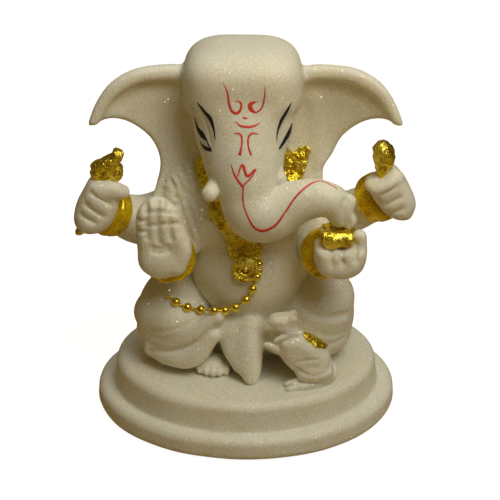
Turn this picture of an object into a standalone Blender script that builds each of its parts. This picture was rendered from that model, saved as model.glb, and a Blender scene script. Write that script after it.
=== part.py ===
"""A seated four-armed elephant-headed figure on a stepped oval plinth, 76 mm tall.

The figure is split at its sculpted borders into solids that stand 0.3 mm apart. Sizes and places below
are in millimetres, turned into metres when a mesh is made. +Z is up, -Y is the front, and the origin is
the middle of the pad's underside. Left and right are the figure's own, so its right side is at -X.
"""

import math

import bmesh
import bpy
from mathutils import Matrix, Vector

MM = 0.001
GAP = 0.3  # between neighbouring solids
WELD = 0.001
SHARP_ANGLE = 40

# Plinth: half-widths along X. Every oval is DEPTH_SHARE as deep as it is wide.
DEPTH_SHARE = 0.797
RIM_HALF = 29.5
STEP_HALF = 26.2
STEP_TOP = 11.0
RIM_TOP = 5.2
RIM_FOOT = 0.5
EDGE_ROUND = 1.9
PAD_HALF = 25.0
PAD_THICK = 1.2

SEAT = STEP_TOP + GAP  # the height at which the figure starts

# Figure: the places that more than one piece depends on
BELLY = Vector((1.0, 1.5, 30.0))
BELLY_RADII = (11.5, 11.3, 11.6)
CHEST = Vector((0.2, 3.8, 42.0))
HEAD = Vector((-0.5, 0.5, 66.0))
HEAD_TOP = 75.6
EAR_THICK = 2.4
EAR_BOWL = 32.0
BANGLE_MAJOR = 3.9
BANGLE_MINOR = 1.05
WRIST = 2.5
BEAD = 0.68

WHITE = ("marble_resin", (0.86, 0.83, 0.74), 0.42, 0.0)
GOLD = ("gold_paint", (0.83, 0.60, 0.08), 0.28, 1.0)
FELT = ("felt", (0.10, 0.10, 0.10), 0.95, 0.0)

parts = None
cutters = None


def start_scene():
    global parts, cutters
    for obj in list(bpy.data.objects):
        bpy.data.objects.remove(obj)
    parts = bpy.data.collections.new("ganesha_idol")
    cutters = bpy.data.collections.new("cutters")
    for collection in (parts, cutters):
        bpy.context.scene.collection.children.link(collection)


def material(name, colour, roughness, metallic):
    found = bpy.data.materials.get(name)
    if found:
        return found
    made = bpy.data.materials.new(name)
    made.use_nodes = True
    shader = made.node_tree.nodes["Principled BSDF"]
    shader.inputs["Base Color"].default_value = (*colour, 1.0)
    shader.inputs["Roughness"].default_value = roughness
    shader.inputs["Metallic"].default_value = metallic
    made.diffuse_color = (*colour, 1.0)
    return made


def object_from(bm, name, finish=WHITE):
    mesh = bpy.data.meshes.new(name)
    bmesh.ops.remove_doubles(bm, verts=bm.verts, dist=WELD * MM)
    bmesh.ops.recalc_face_normals(bm, faces=bm.faces)
    bm.to_mesh(mesh)
    bm.free()
    obj = bpy.data.objects.new(name, mesh)
    mesh.materials.append(material(*finish))
    parts.objects.link(obj)
    return obj


def evaluated_mesh(obj):
    bpy.context.view_layer.update()
    graph = bpy.context.evaluated_depsgraph_get()
    return bpy.data.meshes.new_from_object(obj.evaluated_get(graph))


def bake(obj):
    """The object's modifiers become its mesh."""
    finish = obj.data.materials[0]
    made = evaluated_mesh(obj)
    obj.modifiers.clear()
    obj.data = made
    made.materials.clear()
    made.materials.append(finish)
    return obj


def keep_largest(obj):
    """Drops the crumbs that a cut can leave beside the piece."""
    bm = bmesh.new()
    bm.from_mesh(obj.data)
    waiting = set(bm.verts)
    groups = []
    while waiting:
        group = {waiting.pop()}
        edge_of_group = list(group)
        while edge_of_group:
            vert = edge_of_group.pop()
            for edge in vert.link_edges:
                other = edge.other_vert(vert)
                if other not in group:
                    group.add(other)
                    edge_of_group.append(other)
        waiting -= group
        groups.append(group)
    groups.sort(key=len)
    crumbs = [vert for group in groups[:-1] for vert in group]
    bmesh.ops.delete(bm, geom=crumbs, context="VERTS")
    bmesh.ops.remove_doubles(bm, verts=bm.verts, dist=WELD * MM)
    bm.to_mesh(obj.data)
    bm.free()
    return obj


def ellipsoid(name, centre, radii, turn=(0, 0, 0), power=2.0, segments=20, rings=12, finish=WHITE):
    """A UV sphere stretched to the radii. A power over 2 is boxier; turn is in degrees about X, Y, Z."""
    bm = bmesh.new()
    bmesh.ops.create_uvsphere(bm, u_segments=segments, v_segments=rings, radius=1)
    turned = Matrix.Identity(4)
    for angle, axis in zip(turn, "XYZ"):
        turned = Matrix.Rotation(math.radians(angle), 4, axis) @ turned
    for vert in bm.verts:
        swell = sum(abs(c) ** power for c in vert.co) ** (-1 / power)
        local = Vector(c * swell * r for c, r in zip(vert.co, radii))
        vert.co = (turned @ local + Vector(centre)) * MM
    return object_from(bm, name, finish)


def smooth_path(points, radii, steps):
    """Catmull-Rom points and radii through the given ones."""
    rows = [Vector((*p, r)) for p, r in zip(points, radii)]
    rows = [2 * rows[0] - rows[1], *rows, 2 * rows[-1] - rows[-2]]
    out = []
    for a, b, c, d in zip(rows, rows[1:], rows[2:], rows[3:]):
        for step in range(steps):
            t = step / steps
            square = 2 * a - 5 * b + 4 * c - d
            cube = 3 * b - a - 3 * c + d
            out.append(0.5 * (2 * b + (c - a) * t + square * t**2 + cube * t**3))
    out.append(rows[-2])
    return [Vector(row[:3]) for row in out], [row[3] for row in out]


def dome(point, inward, radius, rings=3):
    """Points and radii that round off the end of a tube, from the tip to the last full ring."""
    out = []
    for ring in range(rings):
        angle = math.radians(12 + 66 * ring / (rings - 1))
        out.append((point - inward * radius * math.cos(angle), radius * math.sin(angle)))
    return out


def tube(name, points, radii, steps=4, sides=3, rounded=True, finish=WHITE):
    """A swept round bar with a radius at each point, round ends and sides * 2 + 4 faces around."""
    path, widths = smooth_path(points, radii, steps)
    rows = list(zip(path, widths))
    if rounded:
        first = dome(path[0], (path[1] - path[0]).normalized(), widths[0])
        last = dome(path[-1], (path[-2] - path[-1]).normalized(), widths[-1])
        rows = first + rows + last[::-1]
    curve = bpy.data.curves.new(name, "CURVE")
    curve.dimensions = "3D"
    curve.bevel_depth = MM
    curve.bevel_resolution = sides
    curve.use_fill_caps = True
    spline = curve.splines.new("POLY")
    spline.points.add(len(rows) - 1)
    for target, (point, width) in zip(spline.points, rows):
        target.co = (*(point * MM), 1)
        target.radius = width
    drawn = bpy.data.objects.new(name + "_curve", curve)
    parts.objects.link(drawn)
    bm = bmesh.new()
    bm.from_mesh(evaluated_mesh(drawn))
    bpy.data.objects.remove(drawn)
    return object_from(bm, name, finish)


def turned(name, profile, steps, depth_share=1.0, finish=WHITE):
    """A profile of (radius, height), from the top down its outer side, turned round Z by a Screw."""
    bm = bmesh.new()
    verts = [bm.verts.new((r * MM, 0, z * MM)) for r, z in profile]
    for a, b in zip(verts, verts[1:]):
        bm.edges.new((a, b))
    mesh = bpy.data.meshes.new(name)
    bm.to_mesh(mesh)
    bm.free()
    obj = bpy.data.objects.new(name, mesh)
    mesh.materials.append(material(*finish))
    parts.objects.link(obj)
    screw = obj.modifiers.new("turn", "SCREW")
    screw.steps = steps
    screw.render_steps = steps
    screw.use_merge_vertices = True
    screw.merge_threshold = 0.00001
    bake(obj)
    for vert in obj.data.vertices:
        vert.co.y *= depth_share
    return obj


def one_skin(name, shapes, voxel, smoothing, triangles):
    """One smooth skin over overlapping shapes: they are joined, voxel-remeshed, smoothed and thinned out."""
    bm = bmesh.new()
    finish = shapes[0].data.materials[0]
    for shape in shapes:
        bm.from_mesh(shape.data)
        bpy.data.objects.remove(shape)
    mesh = bpy.data.meshes.new(name)
    bm.to_mesh(mesh)
    bm.free()
    obj = bpy.data.objects.new(name, mesh)
    mesh.materials.append(finish)
    parts.objects.link(obj)
    remesh = obj.modifiers.new("skin", "REMESH")
    remesh.mode = "VOXEL"
    remesh.voxel_size = voxel * MM
    smooth = obj.modifiers.new("smooth", "SMOOTH")
    smooth.factor = 0.5
    smooth.iterations = smoothing
    bake(obj)
    made = sum(len(face.vertices) - 2 for face in obj.data.polygons)
    thin = obj.modifiers.new("thin_out", "DECIMATE")
    thin.ratio = min(1.0, triangles / made)
    return keep_largest(bake(obj))


def cut(piece, *neighbours, gap=GAP):
    """Cuts each neighbour, grown by the gap, out of the piece."""
    for neighbour in neighbours:
        grown = bpy.data.objects.new(f"{piece.name}_less_{neighbour.name}", neighbour.data.copy())
        cutters.objects.link(grown)
        push = grown.modifiers.new("grow", "DISPLACE")
        push.strength = gap * MM
        push.mid_level = 0
        bake(grown)
        grown.hide_render = True
        grown.display_type = "WIRE"
        difference = piece.modifiers.new(grown.name, "BOOLEAN")
        difference.operation = "DIFFERENCE"
        difference.object = grown
        bake(piece)
    return keep_largest(piece)


def join(piece, *others):
    """Boolean union of the others into the piece."""
    for other in others:
        union = piece.modifiers.new(other.name, "BOOLEAN")
        union.operation = "UNION"
        union.object = other
        bake(piece)
        bpy.data.objects.remove(other)
    return piece


def trim_below(piece, height):
    """Cuts the piece off flat at a height."""
    bm = bmesh.new()
    bmesh.ops.create_cube(bm, size=100 * MM)
    bmesh.ops.translate(bm, verts=bm.verts, vec=(0, 0, (height - 50) * MM))
    block = object_from(bm, piece.name + "_floor")
    cut(piece, block, gap=0)
    bpy.data.objects.remove(block)
    return piece


# --- plinth ----------------------------------------------------------------------------------------------


def arc(centre_r, centre_z, radius, start, end, count):
    """Profile points along an arc; angles in degrees, 0 pointing outwards and 90 up."""
    angles = [math.radians(start + (end - start) * i / (count - 1)) for i in range(count)]
    return [(centre_r + radius * math.cos(a), centre_z + radius * math.sin(a)) for a in angles]


def make_plinth():
    rim_round = (RIM_TOP - RIM_FOOT) / 2
    recess_roof = PAD_THICK + GAP
    profile = [(0, STEP_TOP)]
    profile += arc(STEP_HALF - EDGE_ROUND, STEP_TOP - EDGE_ROUND, EDGE_ROUND, 90, 10, 4)
    profile += [(STEP_HALF + 1.0, RIM_TOP + 1.0), (RIM_HALF - rim_round + 1.0, RIM_TOP)]
    profile += arc(RIM_HALF - rim_round, RIM_FOOT + rim_round, rim_round, 55, -75, 5)
    profile += [(PAD_HALF + GAP, RIM_FOOT), (PAD_HALF + GAP, recess_roof), (0, recess_roof)]
    plinth = turned("base_plinth", profile, 40, DEPTH_SHARE)
    pad_profile = [(0, PAD_THICK), (PAD_HALF, PAD_THICK), (PAD_HALF, 0), (0, 0)]
    turned("felt_pad", pad_profile, 32, DEPTH_SHARE, FELT)
    return plinth


# --- body and legs ---------------------------------------------------------------------------------------


def make_torso():
    belly = ellipsoid("belly", BELLY, BELLY_RADII)
    hips = ellipsoid("hips", (0, 5.5, 15), (14.5, 10.5, 9))
    chest = ellipsoid("chest", CHEST, (14.2, 8.3, 10.0), power=2.3)
    neck = ellipsoid("neck", (-0.2, 3.2, 50), (7.2, 6.4, 7))
    torso = one_skin("torso", (belly, hips, chest, neck), 0.9, 8, 620)
    return trim_below(torso, SEAT)


def make_leg(name, side, torso):
    """A folded leg under cloth: a round knee, and a shin that sweeps along the front to the middle."""
    knee = ellipsoid("knee", (side * 13.2, 1.0, 19.2), (8.4, 10.6, 8.4))
    outer = [(16.2, -2.5, 15.8), (11.0, -5.6, 15.6), (6.0, -6.4, 17.2), (3.2, -6.4, 19.2)]
    shin = tube("shin", [(side * x, y, z) for x, y, z in outer], [4.6, 4.6, 3.4, 2.4])
    leg = one_skin(name, (knee, shin), 0.7, 6, 360)
    trim_below(leg, SEAT)
    return cut(leg, torso)


def make_foot(legs, torso):
    sole = ellipsoid("sole", (-6.4, -8.0, 12.6), (3.9, 3.2, 1.9))
    foot = one_skin("right_foot", (sole,), 0.4, 2, 120)
    trim_below(foot, SEAT)
    return cut(foot, torso, *legs)


def make_drape(legs, foot, torso):
    """The pleated end of the cloth that hangs between the shins and touches the plinth."""
    middle = tube("pleats", [(-0.6, -7.4, 19.4), (0.0, -9.6, 16.2), (1.3, -12.0, 12.2)], [3.2, 2.9, 1.9])
    side = tube("side_fold", [(-3.6, -8.0, 18.6), (-1.6, -9.4, 15.6)], [2.2, 1.8])
    drape = one_skin("front_drape", (middle, side), 0.5, 4, 200)
    trim_below(drape, SEAT)
    return cut(drape, torso, foot, *legs)


# --- head ------------------------------------------------------------------------------------------------


def make_head(torso):
    skull = ellipsoid("skull", HEAD, (10.7, 9.6, HEAD_TOP - HEAD.z + 0.2), power=2.7)
    face = ellipsoid("face", (-0.5, -2.2, 60), (9.3, 9.4, 9.2))
    muzzle = ellipsoid("muzzle", (-0.5, -5.8, 55), (7.4, 6.9, 7))
    head = one_skin("head", (skull, face, muzzle), 0.8, 6, 600)
    return cut(head, torso)


def make_trunk(head, torso):
    """The trunk drops from the face, turns to the figure's left and arches over the sweet."""
    path = [
        (-0.5, -8.0, 54.0),
        (-0.2, -9.6, 49.8),
        (1.3, -10.6, 47.0),
        (4.4, -11.2, 46.2),
        (7.6, -11.6, 47.8),
        (10.4, -12.0, 49.4),
        (13.4, -12.4, 50.2),
        (16.4, -12.8, 49.4),
        (18.3, -13.2, 48.0),
    ]
    bar = tube("trunk_bar", path, [6.5, 6.5, 6.4, 5.8, 4.7, 4.0, 3.5, 3.2, 2.8], steps=2)
    trunk = one_skin("trunk", (bar,), 0.6, 4, 440)
    return cut(trunk, head, torso)


def ear_outline(side):
    """Corners of an ear seen from the front: root, top, drooping tip, scooped edge and lobe."""
    outline = [
        (8.0, 67.0),
        (10.6, 69.4),
        (15.0, 70.0),
        (20.0, 70.0),
        (24.0, 68.4),
        (26.6, 65.0),
        (28.2, 61.4),
        (27.8, 60.8),
        (24.8, 61.2),
        (21.4, 59.8),
        (18.0, 56.6),
        (16.2, 53.0),
        (15.6, 49.6),
        (13.6, 47.0),
        (10.0, 47.0),
        (7.0, 50.0),
    ]
    return [Vector((side * x, z)) for x, z in outline]


def make_ear(name, side, head, torso):
    """A bowl of even thickness, open to the front, trimmed to the ear's outline."""
    curve = bpy.data.curves.new(name, "CURVE")
    curve.dimensions = "2D"
    curve.fill_mode = "BOTH"
    curve.extrude = 20 * MM
    curve.resolution_u = 2
    spline = curve.splines.new("BEZIER")
    corners = ear_outline(side)
    spline.bezier_points.add(len(corners) - 1)
    for target, corner in zip(spline.bezier_points, corners):
        target.co = (corner.x * MM, corner.y * MM, 0)
        target.handle_left_type = "AUTO"
        target.handle_right_type = "AUTO"
    spline.use_cyclic_u = True
    drawn = bpy.data.objects.new(name + "_outline", curve)
    parts.objects.link(drawn)
    bm = bmesh.new()
    bm.from_mesh(evaluated_mesh(drawn))
    bpy.data.objects.remove(drawn)
    stand_up = Matrix.Rotation(math.radians(90), 4, "X")
    bmesh.ops.transform(bm, matrix=stand_up, verts=bm.verts)
    ear = object_from(bm, name)

    bowl_centre = (side * 9.5, 2.8 - EAR_BOWL, 60)
    for offset, operation in ((EAR_THICK / 2, "INTERSECT"), (-EAR_THICK / 2, "DIFFERENCE")):
        ball = ellipsoid("bowl", bowl_centre, (EAR_BOWL + offset,) * 3, segments=40, rings=24)
        bowl = ear.modifiers.new("bowl", "BOOLEAN")
        bowl.operation = operation
        bowl.object = ball
        bake(ear)
        bpy.data.objects.remove(ball)
    return cut(ear, head, torso)


def make_tusk(name, side, height, head, trunk):
    path = [(side * 5.6 - 0.4, -8.0, height + 1.4), (side * 7.0 - 0.4, -13.0, height - 1.4)]
    tusk = tube(name, path, [1.9, 1.4], steps=2, sides=2)
    return cut(tusk, head, trunk)


# --- arms, hands and what they hold ----------------------------------------------------------------------


def towards(start, end):
    return (Vector(end) - Vector(start)).normalized()


def make_arm(name, shoulder, elbow, wrist, radii, blockers):
    """Shoulder to wrist. The last stretch narrows to the wrist, which passes through the bangle."""
    reach = towards(elbow, wrist)
    cuff = Vector(wrist) - reach * 2.2
    arm = tube(name, [shoulder, elbow, cuff, Vector(wrist) + reach * 0.4], [*radii, WRIST], steps=2, sides=2)
    return cut(arm, *blockers)


def make_bangle(name, elbow, wrist, blockers):
    """A stout ring round the wrist, square to the forearm and longer than it is thick."""
    bpy.ops.mesh.primitive_torus_add(
        major_segments=16, minor_segments=6, major_radius=BANGLE_MAJOR * MM, minor_radius=BANGLE_MINOR * MM
    )
    ring = bpy.context.active_object
    bm = bmesh.new()
    bm.from_mesh(ring.data)
    bpy.data.objects.remove(ring)
    aim = towards(elbow, wrist).to_track_quat("Z", "Y").to_matrix().to_4x4()
    place = Matrix.Translation(Vector(wrist) * MM) @ aim @ Matrix.Diagonal((1, 1, 1.35, 1))
    bmesh.ops.transform(bm, matrix=place, verts=bm.verts)
    bangle = object_from(bm, name, GOLD)
    return cut(bangle, *blockers)


def make_fist(name, centre, radii, thumb, blockers):
    knuckles = ellipsoid("knuckles", centre, radii, power=2.4)
    thumb_bar = tube("thumb", thumb, [1.5, 1.25], steps=2)
    fist = one_skin(name, (knuckles, thumb_bar), 0.55, 3, 220)
    return cut(fist, *blockers)


def make_open_hand(blockers):
    """The raised palm: a round heel, four fingers side by side and a thumb."""
    heel = ellipsoid("heel", (-14.8, -10.9, 37.4), (4.9, 2.5, 5.4))
    shapes = [heel]
    fingers = ((-18.6, 41.0, 45.2), (-16.9, 41.0, 47.8), (-14.9, 41.0, 48.3), (-13.0, 41.0, 46.8))
    for x, low, high in fingers:
        shapes.append(tube("finger", [(x, -10.6, low), (x + 0.2, -9.9, high)], [1.3, 1.1], steps=2))
    shapes.append(tube("thumb", [(-11.6, -11.2, 38.6), (-10.7, -10.9, 43.2)], [1.4, 1.1], steps=2))
    hand = one_skin("right_lower_hand", shapes, 0.5, 2, 360)
    return cut(hand, *blockers)


def make_axe():
    """An axe with a short stout head; its handle goes through the upper right fist."""
    grip = [(-29.0, -6.4, 40.4), (-25.4, -5.4, 51.8)]
    handle = tube("handle", grip, [1.0, 1.0], steps=1, sides=2, finish=GOLD)
    blade = ellipsoid("blade", (-26.6, -5.4, 52.0), (2.4, 1.1, 2.6), turn=(0, 24, 0), power=3, finish=GOLD)
    knob = ellipsoid("knob", (-24.0, -5.2, 54.6), (1.2, 1.1, 1.8), turn=(0, 24, 0), finish=GOLD)
    return one_skin("axe", (handle, blade, knob), 0.4, 1, 240)


def make_lotus():
    """A lotus bud on a stem that goes through the upper left fist."""
    stalk = [(27.4, -6.4, 46.8), (25.2, -5.6, 53.0)]
    stem = tube("stem", stalk, [0.9, 0.9], steps=1, sides=2, finish=GOLD)
    bud = ellipsoid("bud", (24.9, -5.4, 55.3), (2.1, 2.0, 3.4), turn=(0, -12, 0), finish=GOLD)
    return one_skin("lotus_bud", (stem, bud), 0.4, 1, 240)


# --- ornaments -------------------------------------------------------------------------------------------


def make_necklace(blockers):
    """A broad collar from shoulder to shoulder that dips to the pendant."""
    half = [(9.0, 0.2, 52.0), (7.9, -2.6, 48.2), (6.0, -4.6, 44.2), (3.4, -6.2, 40.4), (1.4, -7.6, 38.0)]
    points = [(-x, y, z) for x, y, z in half] + [(x + 0.4, y, z) for x, y, z in half[::-1]]
    radii = [1.6, 1.7, 1.7, 1.7, 1.6]
    necklace = tube("necklace", points, radii + radii[::-1], steps=2, sides=2, finish=GOLD)
    return cut(necklace, *blockers)


def make_pendant(blockers):
    bm = bmesh.new()
    bmesh.ops.create_cone(bm, cap_ends=True, segments=20, radius1=2.5 * MM, radius2=2.2 * MM, depth=1.6 * MM)
    tilt = Matrix.Rotation(math.radians(90 - 26), 4, "X")
    place = Matrix.Translation(Vector((0.2, -9.6, 35.0)) * MM) @ tilt
    bmesh.ops.transform(bm, matrix=place, verts=bm.verts)
    return cut(object_from(bm, "pendant", GOLD), *blockers)


def make_beads(blockers):
    """Ball beads on a thread, from the pendant over the belly and the right knee to the raised wrist."""
    ends = [
        (1.9, -10.9, 32.6),
        (0.7, -11.4, 28.8),
        (-2.4, -11.2, 25.8),
        (-6.0, -10.5, 24.8),
        (-10.4, -9.8, 25.3),
        (-14.2, -9.6, 28.4),
    ]
    path, _ = smooth_path(ends, [BEAD] * len(ends), 2)
    string = tube("bead_string", path, [0.32] * len(path), steps=1, sides=0, finish=GOLD)
    lengths = [0.0]
    for a, b in zip(path, path[1:]):
        lengths.append(lengths[-1] + (b - a).length)
    count = 12
    for i in range(count):
        along = lengths[-1] * (i + 0.5) / count
        leg = max(k for k in range(len(path) - 1) if lengths[k] <= along)
        share = (along - lengths[leg]) / (lengths[leg + 1] - lengths[leg])
        centre = path[leg].lerp(path[leg + 1], share)
        join(string, ellipsoid("bead", centre, (BEAD,) * 3, segments=6, rings=4, finish=GOLD))
    return cut(string, *blockers)


# --- mouse -----------------------------------------------------------------------------------------------


def make_mouse(drape, legs):
    """A mouse that sits by the left knee, looks up to its right and has its tail round its feet."""
    back = ellipsoid("back", (11.4, -11.4, 17.4), (5.2, 3.3, 3.7), turn=(0, 38, 0))
    haunch = ellipsoid("haunch", (12.9, -12.6, 14.8), (3.7, 2.9, 3.4))
    paws = tube("paws", [(9.0, -12.4, 18.2), (5.6, -13.0, 19.8)], [1.4, 0.9], steps=2)
    body = one_skin("mouse_body", (back, haunch, paws), 0.5, 3, 260)
    trim_below(body, SEAT)
    cut(body, drape, *legs)
    skull = ellipsoid("mouse_skull", (7.0, -11.6, 24.0), (2.3, 1.9, 1.8), turn=(0, 10, 0))
    snout = tube("snout", [(6.2, -11.7, 23.8), (4.4, -12.0, 24.0)], [1.4, 0.8], steps=2)
    neck = tube("mouse_neck", [(7.6, -11.5, 23.4), (8.8, -11.4, 21.0)], [1.6, 1.9], steps=2)
    ears = [ellipsoid("mouse_ear", (8.9, y, 25.2), (0.9, 0.7, 1.2)) for y in (-12.5, -10.5)]
    head = one_skin("mouse_head", (skull, snout, neck, *ears), 0.35, 2, 200)
    cut(head, body, drape, *legs)
    tail_path = [(17.2, -10.4, 12.3), (16.4, -13.6, 12.1), (12.0, -15.6, 12.1), (7.8, -15.2, 12.1)]
    tail = tube("mouse_tail", tail_path, [0.8, 0.75, 0.7, 0.5], steps=3, sides=1)
    cut(tail, body, *legs)
    saddle = ellipsoid("mouse_saddle", (13.6, -11.6, 18.4), (3.2, 2.4, 1.9), turn=(0, 42, 0), finish=GOLD)
    cut(saddle, body, head, *legs)


# --- the whole figure ------------------------------------------------------------------------------------

SHOULDERS = {
    "right_upper": ((-11.4, 5.2, 45.4), (-18.6, 3.4, 40.6), (-24.4, -1.4, 42.4)),
    "left_upper": ((11.4, 5.2, 46.6), (18.8, 3.2, 43.0), (25.0, -1.4, 45.2)),
    "right_lower": ((-10.8, 3.0, 42.0), (-14.6, -1.2, 34.4), (-14.7, -7.6, 36.8)),
    "left_lower": ((11.0, 3.0, 42.0), (13.4, -2.6, 35.6), (15.2, -9.8, 37.9)),
}
ARM_RADII = {
    "right_upper": (4.6, 4.4, 3.3),
    "left_upper": (4.2, 3.8, 3.3),
    "right_lower": (4.2, 3.9, 3.2),
    "left_lower": (4.2, 3.8, 3.2),
}


def settle(obj, idol):
    """Shades a finished piece, puts its origin at its middle and parents it to the idol."""
    obj.data.shade_smooth()
    obj.data.set_sharp_from_angle(angle=math.radians(SHARP_ANGLE))
    corners = [Vector(corner) for corner in obj.bound_box]
    middle = sum(corners, Vector()) / len(corners)
    obj.data.transform(Matrix.Translation(-middle))
    obj.location = middle
    obj.parent = idol


def build():
    start_scene()
    make_plinth()
    torso = make_torso()
    right_leg = make_leg("right_leg", -1, torso)
    left_leg = make_leg("left_leg", 1, torso)
    legs = (right_leg, left_leg)
    foot = make_foot(legs, torso)
    drape = make_drape(legs, foot, torso)

    head = make_head(torso)
    trunk = make_trunk(head, torso)
    for name, side in (("right_ear", -1), ("left_ear", 1)):
        make_ear(name, side, head, torso)
    tusks = [
        make_tusk("right_tusk", -1, 51.6, head, trunk),
        make_tusk("left_tusk", 1, 54.6, head, trunk),
    ]

    arms = {}
    for name, (shoulder, elbow, wrist) in SHOULDERS.items():
        ears = [bpy.data.objects[ear] for ear in ("right_ear", "left_ear")]
        blockers = [torso, trunk, *legs, *ears, *arms.values()]
        arms[name] = make_arm(name + "_arm", shoulder, elbow, wrist, ARM_RADII[name], blockers)
    bangles = {}
    for name, (_, elbow, wrist) in SHOULDERS.items():
        bangles[name] = make_bangle(name + "_bangle", elbow, wrist, (arms[name], torso, trunk, *legs))

    axe = make_axe()
    lotus = make_lotus()
    held = {"right_upper": [axe], "left_upper": [lotus]}
    fists = {
        "right_upper": ((-27.2, -5.6, 45.2), (4.5, 3.7, 4.4), [(-24.4, -7.6, 47.2), (-23.4, -6.2, 48.4)]),
        "left_upper": ((26.8, -5.6, 47.8), (4.7, 3.7, 4.4), [(24.4, -7.4, 50.2), (27.2, -6.8, 51.6)]),
        "left_lower": ((17.2, -13.6, 39.2), (4.9, 3.6, 4.0), [(20.4, -13.8, 41.0), (20.4, -13.8, 44.4)]),
    }
    sweet = ellipsoid("laddu", (16.3, -13.4, 43.6), (3.1, 2.8, 1.9), segments=16, rings=10, finish=GOLD)
    cut(sweet, trunk)
    held["left_lower"] = [sweet]
    for name, (centre, radii, thumb) in fists.items():
        make_fist(name + "_hand", centre, radii, thumb, (*held[name], arms[name], bangles[name], trunk))
    hand = make_open_hand((arms["right_lower"], bangles["right_lower"], arms["right_upper"]))

    worn = (torso, head, trunk, *tusks, *arms.values(), *legs)
    necklace = make_necklace(worn)
    for ear in ("right_ear", "left_ear"):
        cut(bpy.data.objects[ear], necklace)
    pendant = make_pendant((necklace, *worn))
    make_beads((pendant, necklace, hand, bangles["right_lower"], *worn))
    make_mouse(drape, legs)

    idol = bpy.data.objects.new("idol", None)
    parts.objects.link(idol)
    for obj in [part for part in parts.objects if part != idol]:
        settle(obj, idol)


build()
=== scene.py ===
"""The looks of a small seated figure with an elephant's head, cast in marble resin and painted by hand.

The figure is sculpted as distances on a lattice of points: each part adds egg shapes and round bars to a block
of lattice, with creases pressed in, and the parts of one group melt together where they touch. All groups are
then joined into one surface, and each part is cut from it where it is the nearest part, so that neighbours
meet without a gap. Gold and paint are pieces of their own that lie on that surface.

Lengths are millimetres in the shared frame (+Z up, -Y the front, the figure's right side at -X) until a mesh
is made, in metres.
"""

import math

import bpy
import numpy as np
from mathutils import Euler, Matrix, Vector
from mathutils.bvhtree import BVHTree


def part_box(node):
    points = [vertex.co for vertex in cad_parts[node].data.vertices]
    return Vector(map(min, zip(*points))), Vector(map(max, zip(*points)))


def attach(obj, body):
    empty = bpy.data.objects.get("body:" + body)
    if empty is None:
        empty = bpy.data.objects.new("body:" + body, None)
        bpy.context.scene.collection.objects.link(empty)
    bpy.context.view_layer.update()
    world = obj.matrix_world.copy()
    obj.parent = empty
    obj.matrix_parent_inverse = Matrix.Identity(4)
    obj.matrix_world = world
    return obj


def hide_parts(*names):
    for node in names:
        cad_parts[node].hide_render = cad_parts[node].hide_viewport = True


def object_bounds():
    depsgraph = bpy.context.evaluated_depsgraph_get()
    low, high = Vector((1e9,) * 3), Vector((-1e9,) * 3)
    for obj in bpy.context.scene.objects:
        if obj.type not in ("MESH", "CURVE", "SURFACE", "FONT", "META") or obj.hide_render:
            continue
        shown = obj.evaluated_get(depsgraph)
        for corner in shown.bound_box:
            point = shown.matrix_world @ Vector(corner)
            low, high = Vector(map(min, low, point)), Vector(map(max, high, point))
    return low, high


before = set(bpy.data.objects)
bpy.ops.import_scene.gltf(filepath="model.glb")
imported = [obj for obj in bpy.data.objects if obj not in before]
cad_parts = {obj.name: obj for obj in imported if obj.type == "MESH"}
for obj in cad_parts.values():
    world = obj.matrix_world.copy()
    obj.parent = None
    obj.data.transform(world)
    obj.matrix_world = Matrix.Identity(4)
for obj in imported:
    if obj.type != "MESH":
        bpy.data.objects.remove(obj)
cad_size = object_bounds()

MM = 0.001
STEP = 0.25  # lattice of the white parts
GOLD_STEP = 0.14
FAR = 5.0  # the distance held by lattice points that no shape has reached
REACH = 3.0  # how far outside its shapes a part's distances are worked out
OVERLAP = 0.5  # how far a part runs on under its neighbour
DIVE = 0.15  # how steeply it sinks there
SEAM = 0.4  # width of the fillet between groups

RIGHT, LEFT = -1.0, 1.0
CENTRE_X = -0.4  # the head stands a little to the right of the plinth's middle

# The camera looks down at the figure from the front. Paint is laid on as seen from there.
LOOK_AT = np.array((0.8, 0.0, 33.3))
EYE_DISTANCE = 300.0
EYE_TILT = math.radians(28.0)
EYE = LOOK_AT + EYE_DISTANCE * np.array((0.0, -math.cos(EYE_TILT), math.sin(EYE_TILT)))
SENSOR_WIDTH = 36.0
LENS = 112.9


# ---------------------------------------------------------------- shapes and lattice blocks


def cad_box(node):
    """Lowest and highest corner of a CAD node, in millimetres."""
    low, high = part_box(node)
    return np.array(low) / MM, np.array(high) / MM


def smooth_path(points, steps=6):
    """Points along a Catmull-Rom curve through the given rows of numbers."""
    rows = np.array(points, float)
    if len(rows) < 3:
        return rows
    rows = np.vstack([2 * rows[0] - rows[1], rows, 2 * rows[-1] - rows[-2]])
    made = []
    for a, b, c, d in zip(rows, rows[1:], rows[2:], rows[3:]):
        for t in np.arange(steps) / steps:
            bend = (2 * a - 5 * b + 4 * c - d) * t * t + (3 * b - a - 3 * c + d) * t**3
            made.append(b + 0.5 * ((c - a) * t + bend))
    return np.array(made + [rows[-2]])


class Shape:
    """A distance function and the box outside which it is positive."""

    def __init__(self, low, high, distance):
        self.low = np.array(low, float)
        self.high = np.array(high, float)
        self.distance = distance


def ball(centre, radii, turn=(0, 0, 0), power=2.0):
    """An egg shape, turned by degrees about X, Y and Z. A power above 2 makes it boxier."""
    basis = np.array(Euler([math.radians(a) for a in turn]).to_matrix())
    reach = np.sqrt(((basis * np.array(radii)) ** 2).sum(axis=1)) * 1.08
    turned = any(turn)

    def distance(x, y, z):
        offset = (x - centre[0], y - centre[1], z - centre[2])
        local = offset
        if turned:
            local = [sum(basis[k][axis] * offset[k] for k in range(3)) for axis in range(3)]
        share = [np.abs(c) / r + 1e-6 for c, r in zip(local, radii)]
        size = sum(s**power for s in share) ** (1 / power)
        slope = sum((s ** (power - 1) / r) ** 2 for s, r in zip(share, radii))
        return (size - 1) * size ** (power - 1) / np.sqrt(slope)

    return Shape(np.array(centre) - reach, np.array(centre) + reach, distance)


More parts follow.
